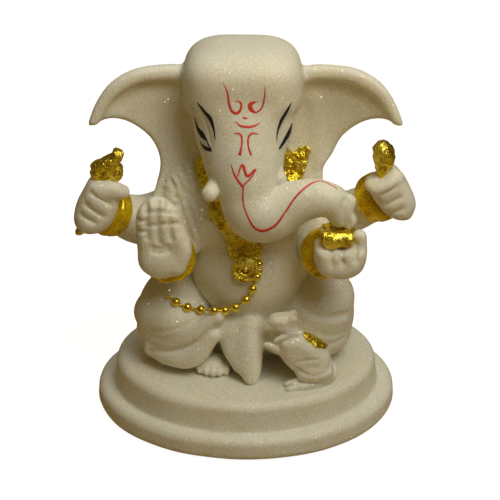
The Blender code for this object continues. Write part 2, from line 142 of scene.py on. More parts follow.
def bar(points, radii, steps=6, squash=(1, 1, 1)):
    """A round bar along a smooth path. radii is one number or one for each point; squash flattens it along an axis."""
    points = np.array(points, float)
    radii = np.full(len(points), radii, float) if np.isscalar(radii) else np.array(radii, float)
    rows = smooth_path(np.column_stack([points, radii]), steps)
    path = rows[:, :3] / squash
    thick = rows[:, 3]

    def distance(x, y, z):
        best = None
        point = (x / squash[0], y / squash[1], z / squash[2])
        for a, b, ra, rb in zip(path, path[1:], thick, thick[1:]):
            along = b - a
            offset = [point[k] - a[k] for k in range(3)]
            share = sum(along[k] * offset[k] for k in range(3)) / (along @ along)
            share = np.clip(share, 0, 1)
            gap = np.sqrt(sum((offset[k] - share * along[k]) ** 2 for k in range(3)))
            gap = gap - (ra + (rb - ra) * share)
            best = gap if best is None else np.minimum(best, gap)
        return best * min(squash)

    grow = thick.max() * np.array(squash)
    return Shape(rows[:, :3].min(0) - grow, rows[:, :3].max(0) + grow, distance)


def oval_slab(half, depth_share, low_z, high_z, edge, taper=0.0):
    """A rounded oval slab: half its width at the bottom, the share of that along Y, and the radius of its edge."""
    middle = (low_z + high_z) / 2
    tall = (high_z - low_z) / 2

    def distance(x, y, z):
        wide = np.sqrt(x**2 + (y / depth_share) ** 2) + 1e-6
        slope = np.sqrt(x**2 + (y / depth_share**2) ** 2) / wide
        out = (wide - half + taper * (z - low_z)) / np.maximum(slope, 1e-3) + edge
        up = np.abs(z - middle) - tall + edge
        return np.hypot(np.maximum(out, 0), np.maximum(up, 0)) + np.minimum(np.maximum(out, up), 0) - edge

    return Shape((-half, -half * depth_share, low_z), (half, half * depth_share, high_z), distance)


def plate(corners, front, back, edge):
    """A plate between two Y values, cut to a smooth closed outline in the XZ plane, with rounded edges."""
    corners = closed_curve(corners, 4)
    middle = (front + back) / 2
    half = (back - front) / 2

    def distance(x, y, z):
        flat = outline_gap(corners, x, z) + edge
        deep = np.abs(y - middle) - half + edge
        return np.hypot(np.maximum(flat, 0), np.maximum(deep, 0)) + np.minimum(np.maximum(flat, deep), 0) - edge

    low = (corners[:, 0].min(), front, corners[:, 1].min())
    high = (corners[:, 0].max(), back, corners[:, 1].max())
    return Shape(low, high, distance)


def closed_curve(corners, steps):
    """Points along a smooth closed curve through the corners."""
    corners = np.array(corners, float)
    return smooth_path(np.vstack([corners[-1:], corners, corners[:2]]), steps)[steps : -steps - 1]


def stencil(corners, front, back):
    """An outline drawn on the upright middle plane and cast along the lines of sight, between two Y values."""
    corners = closed_curve(corners, 4)

    def distance(x, y, z):
        reach = EYE[1] / (EYE[1] - y)
        flat = outline_gap(corners, EYE[0] + (x - EYE[0]) * reach, EYE[2] + (z - EYE[2]) * reach)
        return np.maximum(flat, np.maximum(front - y, y - back))

    flat = np.column_stack([corners[:, 0], np.zeros(len(corners)), corners[:, 1]])
    ends = np.vstack([EYE + (flat - EYE) * (y - EYE[1]) / -EYE[1] for y in (front, back)])
    return Shape(ends.min(0), ends.max(0), distance)


def soft_min(a, b, width):
    if width <= 0:
        return np.minimum(a, b)
    near = np.maximum(width - np.abs(a - b), 0)
    return np.minimum(a, b) - near * near * (0.25 / width)


class Clay:
    """A block of lattice points that holds distances to a part's surface, negative inside."""

    def __init__(self, low, high, step=STEP):
        self.step = step
        self.first = np.floor(np.array(low) / step).astype(int)
        self.count = np.ceil(np.array(high) / step).astype(int) - self.first + 1
        self.field = np.full(self.count, FAR, np.float32)

    def axes(self, block=None):
        """The X, Y and Z of a block's points, as arrays that broadcast together."""
        made = []
        for k in range(3):
            start, stop = (0, self.count[k]) if block is None else (block[k].start, block[k].stop)
            line = (self.first[k] + np.arange(start, stop)) * self.step
            made.append(line.reshape([-1 if j == k else 1 for j in range(3)]))
        return made

    def block(self, low, high):
        """Slices for the points from low to high, or None if this block has none."""
        start = np.clip(np.floor(low / self.step).astype(int) - self.first, 0, self.count)
        stop = np.clip(np.ceil(high / self.step).astype(int) + 1 - self.first, 0, self.count)
        if (stop <= start).any():
            return None
        return tuple(slice(a, b) for a, b in zip(start, stop))

    def add(self, shape, blend=0.0):
        block = self.block(shape.low - REACH, shape.high + REACH)
        if block:
            gap = shape.distance(*self.axes(block))
            self.field[block] = soft_min(self.field[block], gap, blend)

    def cut(self, shape, blend=0.0):
        block = self.block(shape.low - REACH, shape.high + REACH)
        if block:
            gap = shape.distance(*self.axes(block))
            self.field[block] = -soft_min(-self.field[block], gap, blend)

    def press(self, points, width, depth, steps=6):
        """Presses a groove along a path into the surface. A negative depth raises a ridge."""
        line = bar(points, 0.0, steps)
        block = self.block(line.low - 3 * width, line.high + 3 * width)
        if block:
            gap = line.distance(*self.axes(block))
            self.field[block] += depth * np.exp(-((gap / width) ** 2))

    def carve(self, points, width, depth):
        """Presses a groove where a line drawn on the upright middle plane, as (x, z), is seen on the surface."""
        spots = [seen(self, x, z) for x, z in smooth_path(points, 4)]
        spots = [spot for spot in spots if spot is not None]
        if len(spots) > 1:
            self.press(spots, width, depth, 1)

    def rough(self, size, depth, seed):
        self.field += depth * bumps(*self.axes(), size, seed)


def bumps(x, y, z, size, seed):
    """Smooth random bumps from -1 to 1 of about the given size."""
    rng = np.random.default_rng(seed)
    weights = []
    spans = []
    for line in (x, y, z):
        place = line.ravel() / size + 100.0
        cell = np.floor(place).astype(int)
        share = place - cell
        share = share * share * (3 - 2 * share)
        start = cell.min()
        table = np.zeros((len(place), cell.max() - start + 2), np.float32)
        rows = np.arange(len(place))
        table[rows, cell - start] = 1 - share
        table[rows, cell - start + 1] = share
        weights.append(table)
        spans.append(table.shape[1])
    values = rng.uniform(-1, 1, spans).astype(np.float32)
    for table in weights:
        values = np.tensordot(values, table, axes=(0, 1))
    return values


def sampled(clay, points):
    """The clay's distances at free points, by straight-line mixing of the eight points around each."""
    place = points / clay.step - clay.first
    place = np.clip(place, 0, clay.count - 1.001)
    cell = place.astype(int)
    share = place - cell
    total = np.zeros(len(points))
    for corner in np.ndindex(2, 2, 2):
        weight = np.prod(np.where(corner, share, 1 - share), axis=1)
        total += weight * clay.field[tuple((cell + corner).T)]
    return total


def seen(clay, x, z):
    """The first point of the clay's surface on the line of sight through (x, 0, z), or None."""
    depth = np.arange(clay.first[1], clay.first[1] + clay.count[1]) * clay.step
    aim = np.array((x, 0.0, z)) - EYE
    spots = EYE + aim * ((depth - EYE[1]) / aim[1])[:, None]
    gap = sampled(clay, spots)
    inside = np.flatnonzero(gap < 0)
    if len(inside) == 0 or inside[0] == 0:
        return None
    k = inside[0]
    share = gap[k - 1] / (gap[k - 1] - gap[k])
    return spots[k - 1] + share * (spots[k] - spots[k - 1])


def slope_at(clay, points):
    """The direction in which the clay's distance grows, at free points."""
    half = clay.step * 0.5
    parts = []
    for k in range(3):
        shift = np.zeros(3)
        shift[k] = half
        parts.append((sampled(clay, points + shift) - sampled(clay, points - shift)) / (2 * half))
    return np.column_stack(parts)


# ---------------------------------------------------------------- from lattice to mesh


def skin(clay):
    """Points and four-sided faces of the surface where the clay's distance is nought."""
    field = clay.field
    for k in range(3):
        edge = [slice(None)] * 3
        for end in (0, -1):
            edge[k] = end
            field[tuple(edge)] = np.maximum(field[tuple(edge)], 0.3 * clay.step)
    inside = field < 0
    corners = [tuple(slice(c, field.shape[k] - 1 + c) for k, c in enumerate(corner)) for corner in np.ndindex(2, 2, 2)]
    filled = sum(inside[c].astype(np.uint8) for c in corners)
    crossed = (filled > 0) & (filled < 8)
    number = np.full(crossed.shape, -1, np.int32)
    number[crossed] = np.arange(crossed.sum())
    cells = np.argwhere(crossed)
    values = [field[c][crossed] for c in corners]
    place = np.zeros((len(cells), 3))
    hits = np.zeros(len(cells))
    for a, corner in enumerate(np.ndindex(2, 2, 2)):
        for k in range(3):
            if corner[k]:
                continue
            b = a + (4, 2, 1)[k]
            cross = (values[a] < 0) != (values[b] < 0)
            share = values[a][cross] / (values[a][cross] - values[b][cross])
            spot = np.tile(np.array(corner, float), (cross.sum(), 1))
            spot[:, k] += share
            place[cross] += spot
            hits[cross] += 1
    points = (cells + place / hits[:, None] + clay.first) * clay.step
    quads = []
    for k in range(3):
        i, j = (k + 1) % 3, (k + 2) % 3
        near = [slice(1, -1)] * 3
        near[k] = slice(0, -1)
        far = list(near)
        far[k] = slice(1, None)
        start, end = inside[tuple(near)], inside[tuple(far)]
        found = np.argwhere(start != end) + [0 if n == k else 1 for n in range(3)]
        leaves = inside[tuple(found.T)]
        ring = []
        for di, dj in ((-1, -1), (0, -1), (0, 0), (-1, 0)):
            cell = found.copy()
            cell[:, i] += di
            cell[:, j] += dj
            ring.append(number[tuple(cell.T)])
        ring = np.column_stack(ring)
        ring[~leaves] = ring[~leaves][:, ::-1]
        quads.append(ring)
    return points, np.vstack(quads)


def largest_island(count, quads):
    """Faces of the biggest connected piece of surface."""
    label = np.arange(count)
    while True:
        lowest = label[quads].min(axis=1)
        before = label.copy()
        for k in range(4):
            np.minimum.at(label, quads[:, k], lowest)
        label = label[label]
        if (label == before).all():
            break
    names, sizes = np.unique(label[quads[:, 0]], return_counts=True)
    return quads[label[quads[:, 0]] == names[sizes.argmax()]]


def relaxed(clay, points, quads, rounds=2):
    """Evens out the points along the surface and puts them back on it."""
    for _ in range(rounds):
        total = np.zeros_like(points)
        count = np.zeros(len(points))
        middle = points[quads].mean(axis=1)
        for k in range(4):
            for axis in range(3):
                total[:, axis] += np.bincount(quads[:, k], middle[:, axis], len(points))
            count += np.bincount(quads[:, k], minlength=len(points))
        moved = total / np.maximum(count, 1)[:, None]
        points = points * 0.3 + moved * 0.7
        slope = slope_at(clay, points)
        steep = np.maximum((slope**2).sum(axis=1), 0.2)
        shift = sampled(clay, points) / steep
        points = points - slope * np.clip(shift, -0.5 * clay.step, 0.5 * clay.step)[:, None]
    return points


def make_object(name, points, faces):
    mesh = bpy.data.meshes.new(name)
    mesh.from_pydata((np.asarray(points) * MM).tolist(), [], [list(f) for f in faces])
    mesh.update()
    mesh.shade_smooth()
    made = bpy.data.objects.new(name, mesh)
    bpy.context.scene.collection.objects.link(made)
    return made


def thin_out(made, share):
    """Merges faces where the surface is flat, down to a share of their number."""
    fewer = made.modifiers.new("fewer", "DECIMATE")
    fewer.ratio = share
    graph = bpy.context.evaluated_depsgraph_get()
    mesh = bpy.data.meshes.new_from_object(made.evaluated_get(graph), depsgraph=graph)
    made.modifiers.clear()
    made.data = mesh
    made.data.shade_smooth()


def finish_piece(made, nodes, material):
    """Gives a piece its material and its place in the frame."""
    made.data.materials.clear()
    made.data.materials.append(material)
    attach(made, "root")
    if nodes:
        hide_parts(*nodes)
    return made


def cast(name, clay, nodes, material, share=0.6):
    """Makes a piece from clay. Only its largest body is kept."""
    points, quads = skin(clay)
    quads = largest_island(len(points), quads)
    used, quads = np.unique(quads, return_inverse=True)
    quads = quads.reshape(-1, 4)
    points = relaxed(clay, points[used], quads)
    made = make_object(name, points, quads.tolist())
    if share < 1:
        thin_out(made, share)
    return finish_piece(made, nodes, material)


# ---------------------------------------------------------------- materials


class Nodes:
    """Short ways to build a material's node tree. Sizes are given in millimetres."""

    def __init__(self, name):
        self.material = bpy.data.materials.new(name)
        self.material.use_nodes = True
        self.tree = self.material.node_tree
        self.tree.nodes.clear()
        self.output = self.tree.nodes.new("ShaderNodeOutputMaterial")
        self.shader = self.tree.nodes.new("ShaderNodeBsdfPrincipled")
        self.tree.links.new(self.shader.outputs["BSDF"], self.output.inputs["Surface"])
        coordinates = self.tree.nodes.new("ShaderNodeTexCoord")
        self.place = coordinates.outputs["Object"]

    def link(self, source, node, socket):
        self.tree.links.new(source, node.inputs[socket])

    def set(self, **values):
        for key, value in values.items():
            socket = self.shader.inputs[key.replace("_", " ")]
            if hasattr(value, "is_output"):
                self.tree.links.new(value, socket)
            else:
                socket.default_value = value

    def noise(self, size, detail=2.0, roughness=0.5, distortion=0.0):
        node = self.tree.nodes.new("ShaderNodeTexNoise")
        node.inputs["Scale"].default_value = 1 / (size * MM)
        node.inputs["Detail"].default_value = detail
        node.inputs["Roughness"].default_value = roughness
        node.inputs["Distortion"].default_value = distortion
        self.link(self.place, node, "Vector")
        return node.outputs["Fac"]

    def cells(self, size, output="Distance"):
        node = self.tree.nodes.new("ShaderNodeTexVoronoi")
        node.inputs["Scale"].default_value = 1 / (size * MM)
        self.link(self.place, node, "Vector")
        return node.outputs[output]

    def ramp(self, value, low, high, start=0.0, end=1.0):
        """Maps low–high to start–end, without going past them."""
        node = self.tree.nodes.new("ShaderNodeMapRange")
        for key, number in (("From Min", low), ("From Max", high), ("To Min", start), ("To Max", end)):
            node.inputs[key].default_value = number
        self.link(value, node, "Value")
        return node.outputs["Result"]

    def math(self, kind, a, b):
        node = self.tree.nodes.new("ShaderNodeMath")
        node.operation = kind
        for k, value in enumerate((a, b)):
            if hasattr(value, "is_output"):
                self.tree.links.new(value, node.inputs[k])
            else:
                node.inputs[k].default_value = value
        return node.outputs["Value"]

    def mix(self, share, a, b):
        """A colour between a and b. Either may be a colour or another node's output."""
        node = self.tree.nodes.new("ShaderNodeMix")
        node.data_type = "RGBA"
        for socket, value in ((node.inputs[0], share), (node.inputs[6], a), (node.inputs[7], b)):
            if hasattr(value, "is_output"):
                self.tree.links.new(value, socket)
            elif isinstance(value, tuple):
                socket.default_value = (*value, 1.0)
            else:
                socket.default_value = value
        return node.outputs[2]

    def bump(self, height, depth, strength=1.0, under=None):
        """A bump of the given depth in millimetres, on top of another one if under is given."""
        node = self.tree.nodes.new("ShaderNodeBump")
        node.inputs["Distance"].default_value = depth * MM
        node.inputs["Strength"].default_value = strength
        self.link(height, node, "Height")
        if under is not None:
            self.link(under, node, "Normal")
        return node.outputs["Normal"]

    def tilted(self, size, strength):
        """The surface's direction, tipped a random way in each cell, as by small flakes."""
        node = self.tree.nodes.new("ShaderNodeTexVoronoi")
        node.inputs["Scale"].default_value = 1 / (size * MM)
        self.link(self.place, node, "Vector")
        geometry = self.tree.nodes.new("ShaderNodeNewGeometry")
        centred = self.vector("SUBTRACT", node.outputs["Color"], (0.5, 0.5, 0.5))
        tipped = self.vector("MULTIPLY", centred, (strength, strength, strength))
        return self.vector("NORMALIZE", self.vector("ADD", tipped, geometry.outputs["Normal"]), None)

    def along(self, vector, way):
        """How far a vector runs along a fixed direction."""
        node = self.tree.nodes.new("ShaderNodeVectorMath")
        node.operation = "DOT_PRODUCT"
        self.tree.links.new(vector, node.inputs[0])
        node.inputs[1].default_value = way
        return node.outputs["Value"]

    def vector(self, kind, a, b):
        node = self.tree.nodes.new("ShaderNodeVectorMath")
        node.operation = kind
        for k, value in enumerate((a, b)):
            if hasattr(value, "is_output"):
                self.tree.links.new(value, node.inputs[k])
            elif value is not None:
                node.inputs[k].default_value = value
        return node.outputs["Vector"]


# Halfway between the way to the camera and the way to the key lamp: flakes tipped to face it get a painted glint.
PAINTED_GLINT_WAY = (0.20, -0.70, 0.685)


def marble_material():
    """Cast marble dust in resin: off-white and waxy, with a sugary grain, and painted glints that glow on flakes tipped
    towards the lamp.
    """
    n = Nodes("marble_resin")
    cloud = n.ramp(n.noise(9.0, 3.0), 0.35, 0.65)
    colour = n.mix(cloud, (0.835, 0.78, 0.58), (0.88, 0.835, 0.655))
    grain = n.noise(0.3, 2.0, 0.6)
    colour = n.mix(n.ramp(grain, 0.46, 0.62, 0.0, 0.8), colour, (0.98, 0.96, 0.86))
    colour = n.mix(n.ramp(grain, 0.36, 0.5, 0.28, 0.0), colour, (0.70, 0.63, 0.44))
    speck = n.math("GREATER_THAN", n.cells(4.5, "Color"), 0.95)
    speck = n.math("MULTIPLY", speck, n.ramp(n.cells(4.5), 0.02, 0.05, 1.0, 0.0))
    colour = n.mix(speck, colour, (0.30, 0.23, 0.14))
    rough = n.ramp(n.noise(0.8, 2.0), 0.3, 0.7, 0.42, 0.56)
    normal = n.bump(grain, 0.09)
    n.set(Base_Color=colour, Roughness=rough, Normal=normal, IOR=1.5)
    n.set(Subsurface_Weight=0.5, Subsurface_Radius=(1.0, 0.72, 0.38), Subsurface_Scale=1.3 * MM)
    # Painted glints: flakes tipped towards the lamp glow white as a painted highlight, whether or not light reaches
    # them.
    painted_glint = n.math("GREATER_THAN", n.along(n.tilted(0.5, 1.1), PAINTED_GLINT_WAY), 0.99)
    painted_glint = n.math("MULTIPLY", painted_glint, n.ramp(n.cells(0.5), 0.1, 0.24, 1.8, 0.0))
    n.set(Emission_Color=(1.0, 0.97, 0.88, 1.0), Emission_Strength=painted_glint)
    return n.material


def gold_material():
    """Gold paint over rough relief: bright on the high spots, brown where it is thin."""
    n = Nodes("gold_paint")
    thin = n.noise(1.3, 2.0, 0.5, 0.6)
    colour = n.mix(n.ramp(thin, 0.48, 0.66), (0.93, 0.72, 0.045), (0.42, 0.24, 0.01))
    colour = n.mix(n.ramp(n.noise(3.0, 2.0), 0.45, 0.75), colour, (1.0, 0.86, 0.18))
    rough = n.ramp(n.noise(0.6, 2.0), 0.3, 0.7, 0.12, 0.3)
    normal = n.bump(n.noise(0.55, 3.0, 0.6), 0.26)
    n.set(Base_Color=colour, Metallic=0.96, Roughness=rough, Normal=normal)
    return n.material


def smooth_gold_material():
    """The same paint on smooth beads: bright and evenly laid."""
    n = Nodes("gold_paint_smooth")
    colour = n.mix(n.ramp(n.noise(1.6, 2.0), 0.35, 0.7), (1.0, 0.80, 0.12), (0.88, 0.64, 0.06))
    rough = n.ramp(n.noise(0.5, 2.0), 0.3, 0.7, 0.1, 0.18)
    normal = n.bump(n.noise(0.4, 2.0), 0.02)
    n.set(Base_Color=colour, Metallic=0.98, Roughness=rough, Normal=normal)
    return n.material


def cuff_material():
    """Thick yellow gold paint with a silky sheen on the cuffs."""
    n = Nodes("gold_paint_thick")
    colour = n.mix(n.ramp(n.noise(2.2, 2.0), 0.35, 0.7), (0.90, 0.65, 0.008), (0.74, 0.50, 0.010))
    rough = n.ramp(n.noise(0.5, 2.0), 0.3, 0.7, 0.24, 0.36)
    normal = n.bump(n.noise(0.6, 1.0), 0.03)
    n.set(Base_Color=colour, Metallic=0.6, Roughness=rough, Normal=normal)
    return n.material


def line_material(name, thick, thin, roughness):
    """Brushed paint that is weaker in places."""
    n = Nodes(name)
    patchy = n.ramp(n.noise(0.5, 3.0, 0.6), 0.4, 0.75)
    n.set(Base_Color=n.mix(patchy, thick, thin), Roughness=n.ramp(n.noise(0.4), 0.3, 0.7, roughness, roughness + 0.15))
    n.set(Normal=n.bump(n.noise(0.25), 0.02))
    return n.material


def felt_material():
    n = Nodes("felt")
    fibre = n.noise(0.25, 5.0, 0.7, 1.5)
    n.set(Base_Color=n.mix(n.ramp(fibre, 0.35, 0.7), (0.07, 0.07, 0.07), (0.16, 0.155, 0.15)), Roughness=0.95)
    n.set(Normal=n.bump(fibre, 0.15), Sheen_Weight=0.3, Sheen_Roughness=0.6)
    return n.material


MARBLE = marble_material()
GOLD = gold_material()
SMOOTH_GOLD = smooth_gold_material()
CUFF_GOLD = cuff_material()
RED_PAINT = line_material("red_paint", (0.72, 0.02, 0.010), (0.88, 0.13, 0.07), 0.35)
BLACK_PAINT = line_material("black_paint", (0.003, 0.002, 0.004), (0.018, 0.014, 0.018), 0.3)
FELT = felt_material()


# ---------------------------------------------------------------- sculpting: plinth and body

plinth_low, plinth_high = cad_box("base_plinth")
PLINTH_TOP = plinth_high[2]
RIM_HALF = plinth_high[0]
DEPTH_SHARE = plinth_high[1] / plinth_high[0]
RIM_TOP = 5.2
STEP_HALF = 26.2
PAD_HALF = cad_box("felt_pad")[1][0]
PAD_TOP = cad_box("felt_pad")[1][2]


def sculpt_plinth(clay):
    clay.add(oval_slab(RIM_HALF, DEPTH_SHARE, plinth_low[2], RIM_TOP, 1.5, 0.06))
    clay.add(oval_slab(STEP_HALF, DEPTH_SHARE, RIM_TOP - 2.5, PLINTH_TOP, 1.5, 0.10), 0.5)
    clay.cut(oval_slab(PAD_HALF + 0.2, DEPTH_SHARE, -2.0, PAD_TOP + 0.1, 0.2))
    clay.rough(7.0, 0.12, 11)


SHAWL_FOLDS = (
    [(-13.0, 48.9), (-12.0, 46.0), (-12.4, 42.9), (-11.3, 39.3), (-10.4, 35.9)],
    [(-11.5, 49.8), (-10.8, 46.9), (-11.1, 44.0), (-10.2, 41.0), (-9.5, 37.6)],
    [(-14.1, 48.5), (-13.4, 46.5), (-13.1, 44.4)],
)


def sculpt_torso(clay):
    clay.add(ball((1.0, 1.5, 30.0), (11.5, 11.3, 11.6)))
    clay.add(ball((0.0, 5.5, 15.0), (13.5, 9.5, 9.0)), 2.0)
    clay.add(ball((0.2, 3.8, 42.0), (14.2, 8.3, 10.0), power=2.3), 2.5)
    clay.add(ball((-0.2, 3.2, 50.0), (7.2, 6.4, 7.0)), 3.0)
    for side in (RIGHT, LEFT):
        clay.add(ball((side * 5.6, -3.4, 40.6), (4.8, 3.4, 4.2)), 2.5)
    clay.add(ball((-0.5, 5.6, 13.4), (12.5, 8.6, 3.6), power=4), 0.8)  # seat under the folded legs
    shawl = [(-11.0, 2.6, 51.0), (-12.6, 0.4, 46.4), (-12.2, -3.0, 41.6), (-10.6, -5.6, 37.0)]
    clay.add(bar(shawl, (2.4, 3.4, 3.0, 1.8)), 3.0)
    x, y, z = clay.axes()
    over_shawl = np.clip((-9.0 - x) / 1.5, 0, 1) * np.clip((z - 33.0) / 2.0, 0, 1) * np.clip((3.0 - y) / 2.0, 0, 1)
    clay.field = clay.field + (0.42 * over_shawl * bumps(x, y, z, 1.0, 10)).astype(np.float32)
    for line in SHAWL_FOLDS:
        clay.carve(line, 0.4, 0.6)
        clay.carve([(x + 0.9, z) for x, z in line], 0.45, -0.5)
    clay.carve([(6.4, 30.9), (5.9, 28.8), (5.3, 26.4)], 0.45, -0.4)
    clay.carve([(4.9, 32.9), (4.7, 31.3)], 0.4, -0.35)
    clay.press([(0.0, 12.5, 24.0), (0.0, 12.2, 36.0), (0.0, 10.8, 48.0)], 1.6, 0.5)  # spine
    clay.rough(4.0, 0.07, 12)


def sculpt_right_leg(clay):
    clay.add(ball((-13.0, 1.0, 19.6), (8.1, 10.4, 8.2)))
    rolls = (
        ([(-17.2, -3.2, 21.6), (-12.6, -6.4, 21.0), (-8.4, -7.4, 22.6)], (4.4, 3.6, 1.9), 1.2),
        ([(-18.8, -3.6, 18.2), (-15.2, -7.0, 17.6), (-10.6, -8.4, 19.8), (-5.4, -9.2, 23.9)], (2.4, 2.1, 2.2, 1.4), 0.5),
        ([(-17.4, -5.0, 15.2), (-14.0, -7.8, 14.8), (-10.2, -8.8, 15.6), (-6.4, -9.4, 20.0)], (2.6, 2.4, 2.6, 1.6), 0.5),
    )
    for path, thick, blend in rolls:
        clay.add(bar(path, thick), blend)
    clay.carve([(-18.9, 15.3), (-15.9, 15.0), (-12.0, 16.6), (-9.0, 18.2), (-7.6, 19.6)], 0.5, 0.35)
    clay.carve([(-19.0, 10.6), (-15.1, 10.4), (-10.1, 12.5), (-8.1, 14.3), (-6.1, 16.6)], 0.5, 0.4)
    clay.rough(3.0, 0.08, 13)


def sculpt_left_leg(clay):
    clay.add(ball((13.0, 1.0, 19.4), (8.2, 10.5, 8.4)))
    clay.add(ball((14.2, -0.6, 23.8), (6.8, 7.4, 5.2)), 1.5)
    shin = [(15.9, -2.5, 16.6), (12.0, -6.0, 16.4), (6.4, -6.6, 17.6), (3.4, -6.4, 19.2)]
    clay.add(bar(shin, (4.3, 4.0, 3.2, 2.4)), 1.0)
    fold = [(10.2, 21.6), (11.5, 20.3), (13.7, 18.9), (16.5, 18.4), (19.6, 19.1)]
    clay.carve(fold, 0.6, 0.6)
    clay.carve([(x, z - 1.5) for x, z in fold[1:]], 0.8, -0.35)
    clay.carve([(14.2, 14.8), (16.6, 14.1), (19.2, 14.8)], 0.6, 0.3)
    clay.carve([(15.0, 12.0), (17.6, 12.5), (19.4, 13.6)], 0.5, 0.3)
    clay.rough(3.0, 0.08, 14)


def sculpt_right_foot(clay):
    clay.add(ball((-6.4, -7.0, 12.3), (3.8, 2.8, 1.6)))
    for k in range(5):
        reach = (8.8, 9.5, 9.8, 9.7, 9.2)[k]
        toe = (-8.8 + 1.25 * k, -reach, 12.1)
        clay.add(ball(toe, (0.72, 1.15, 0.85 + 0.05 * k)), 0.45)


def sculpt_drape(clay):
    tongue = [(0.8, -7.6, 21.0), (0.8, -9.8, 17.0), (1.0, -11.3, 13.9), (1.0, -12.2, 12.4)]
    clay.add(bar(tongue, (2.7, 2.5, 2.0, 1.5)))
    wing = [(-3.0, -7.6, 19.4), (-2.8, -8.8, 16.6), (-1.4, -10.3, 14.2)]
    clay.add(bar(wing, (2.0, 1.7, 1.3)), 2.6)
    clay.add(ball((-3.2, -7.2, 20.4), (3.0, 1.8, 2.8)), 1.5)


# ---------------------------------------------------------------- sculpting: head


def sculpt_head(clay):
    clay.add(ball((-0.5, 0.5, 67.9), (10.8, 9.6, 7.1), power=3.2))
    clay.add(ball((-0.5, -2.2, 60.0), (8.5, 9.4, 9.2)), 2.0)
    clay.add(ball((-0.5, -5.8, 55.0), (7.0, 6.9, 7.0)), 2.5)
    for side in (RIGHT, LEFT):
        x = CENTRE_X + side * 6.9
        clay.add(ball((x, -4.8, 60.0), (1.7, 2.0, 3.4), (0, side * 14, 0)), 1.6)  # eyeball under its lids
        clay.press([(x - side * 1.2, -7.4, 64.0), (x, -5.4, 65.6), (x + side * 1.0, -1.6, 65.4)], 1.0, 0.25)
        clay.press([(x - side * 2.2, -8.8, 58.6), (x - side * 1.6, -7.6, 61.4)], 0.8, 0.18)
        clay.carve([(side * 8.6, 62.2), (side * 7.4, 60.0), (side * 6.8, 57.4), (side * 6.4, 55.4)], 0.4, 0.2)
    clay.rough(6.0, 0.1, 15)


def sculpt_trunk(clay):
    path = [
        (-0.3, -7.6, 56.0),
        (0.2, -8.6, 53.0),
        (0.8, -9.6, 49.9),
        (1.9, -10.6, 47.2),
        (4.4, -11.2, 46.9),
        (7.4, -11.6, 48.4),
        (10.4, -12.0, 49.8),
        (13.0, -12.4, 50.4),
        (15.3, -12.8, 50.2),
    ]
    clay.add(bar(path, (5.2, 5.9, 5.6, 5.7, 5.2, 4.3, 3.8, 3.4, 3.0), steps=5))
    clay.add(ball((16.8, -13.1, 48.3), (2.2, 2.3, 3.2)), 1.0)
    lip = [(17.6, -12.4, 51.0), (19.0, -13.0, 50.2), (18.6, -13.6, 48.2), (19.2, -13.8, 46.6), (18.5, -13.8, 45.4)]
    clay.add(bar(lip, (0.6, 0.75, 0.65, 0.75, 0.6)), 0.4)
    clay.carve([(18.6, 43.9), (18.4, 42.2), (18.8, 40.6), (18.7, 39.2)], 0.4, 0.5)
    clay.rough(5.0, 0.08, 16)


def ear_outline(side):
    """Corners of an ear seen from the front, from its root at the top round the tip to its lobe."""
    corners = [(7, 66), (10.4, 69.6), (15, 70.3), (20, 70.1), (24, 68.3), (26.6, 65), (28.4, 61.2), (27.8, 60.7)]
    corners += [(24.8, 61.1), (21.4, 59.7), (18, 56.5), (16.2, 53)]
    if side == RIGHT:
        corners += [(15.9, 50.4), (16.8, 47.2), (17.6, 44.4), (13.0, 43.4), (8.0, 46.0), (6.4, 50)]
    else:
        corners += [(14.6, 50.6), (14.4, 47.6), (12.6, 45.0), (9.0, 46.0), (6.4, 50)]
    return np.array([(side * x, z) for x, z in corners])


def outline_gap(corners, x, z):
    """Distance from points to a closed outline in the XZ plane, negative inside."""
    best = np.full(np.broadcast(x, z).shape, 1e9)
    inside = np.zeros(best.shape, bool)
    for (ax, az), (bx, bz) in zip(corners, np.roll(corners, -1, axis=0)):
        ex, ez = bx - ax, bz - az
        share = np.clip(((x - ax) * ex + (z - az) * ez) / (ex * ex + ez * ez), 0, 1)
        best = np.minimum(best, np.hypot(x - ax - share * ex, z - az - share * ez))
        if ez:
            crosses = ((az > z) != (bz > z)) & (x < ax + (z - az) * ex / ez)
            inside ^= crosses
    return np.where(inside, -best, best)


def ear_shape(side):
    """A thin bowl, open to the front, cut to the ear's outline."""
    corners = smooth_path(np.vstack([ear_outline(side), ear_outline(side)[:1]]), 4)[:-1]
    centre = np.array((side * 9.5, 2.8 - EAR_BOWL, 60.0))

    def distance(x, y, z):
        flat = outline_gap(corners, x, z)
        away = np.sqrt((x - centre[0]) ** 2 + (y - centre[1]) ** 2 + (z - centre[2]) ** 2) - EAR_BOWL
        thin = np.abs(away) - (EAR_THICK / 2)
        return -soft_min(-flat, -thin, 1.4)

    low = (corners[:, 0].min(), -5.0, corners[:, 1].min())
    high = (corners[:, 0].max(), 8.0, corners[:, 1].max())
    return Shape(low, high, distance)


EAR_BOWL = 32.0
EAR_THICK = 2.2


def on_bowl(side, x, z):
    """The point of the ear's bowl behind a place on its outline."""
    drop = math.sqrt(EAR_BOWL**2 - (x - 9.5) ** 2 - (z - 60.0) ** 2)
    return (side * x, 2.8 - EAR_BOWL + drop, z)


def sculpt_ear(clay, side):
    clay.add(ear_shape(side))
    rim = [(9.0, 67.8), (12, 69.2), (16, 69.4), (20, 69.0), (23.4, 67.2), (25.8, 64.4), (27.3, 61.6)]
    rim = [on_bowl(side, x, z) for x, z in rim]
    rim = [(x, y - 0.7, z) for x, y, z in rim]
    clay.add(bar(rim, (1.5, 1.5, 1.45, 1.35, 1.2, 0.95, 0.6)), 1.0)
    hollow = [on_bowl(side, x, z) for x, z in ((14, 66.6), (19, 66.4), (22.6, 64.4))]
    clay.press([(x, y - 1.2, z) for x, y, z in hollow], 1.8, 0.5)
    fold = [on_bowl(side, x, z) for x, z in ((12.6, 63.5), (13.2, 58), (13.6, 52))]
    clay.press([(x, y - 1.2, z) for x, y, z in fold], 1.5, -0.35)
    clay.rough(5.0, 0.1, 17)


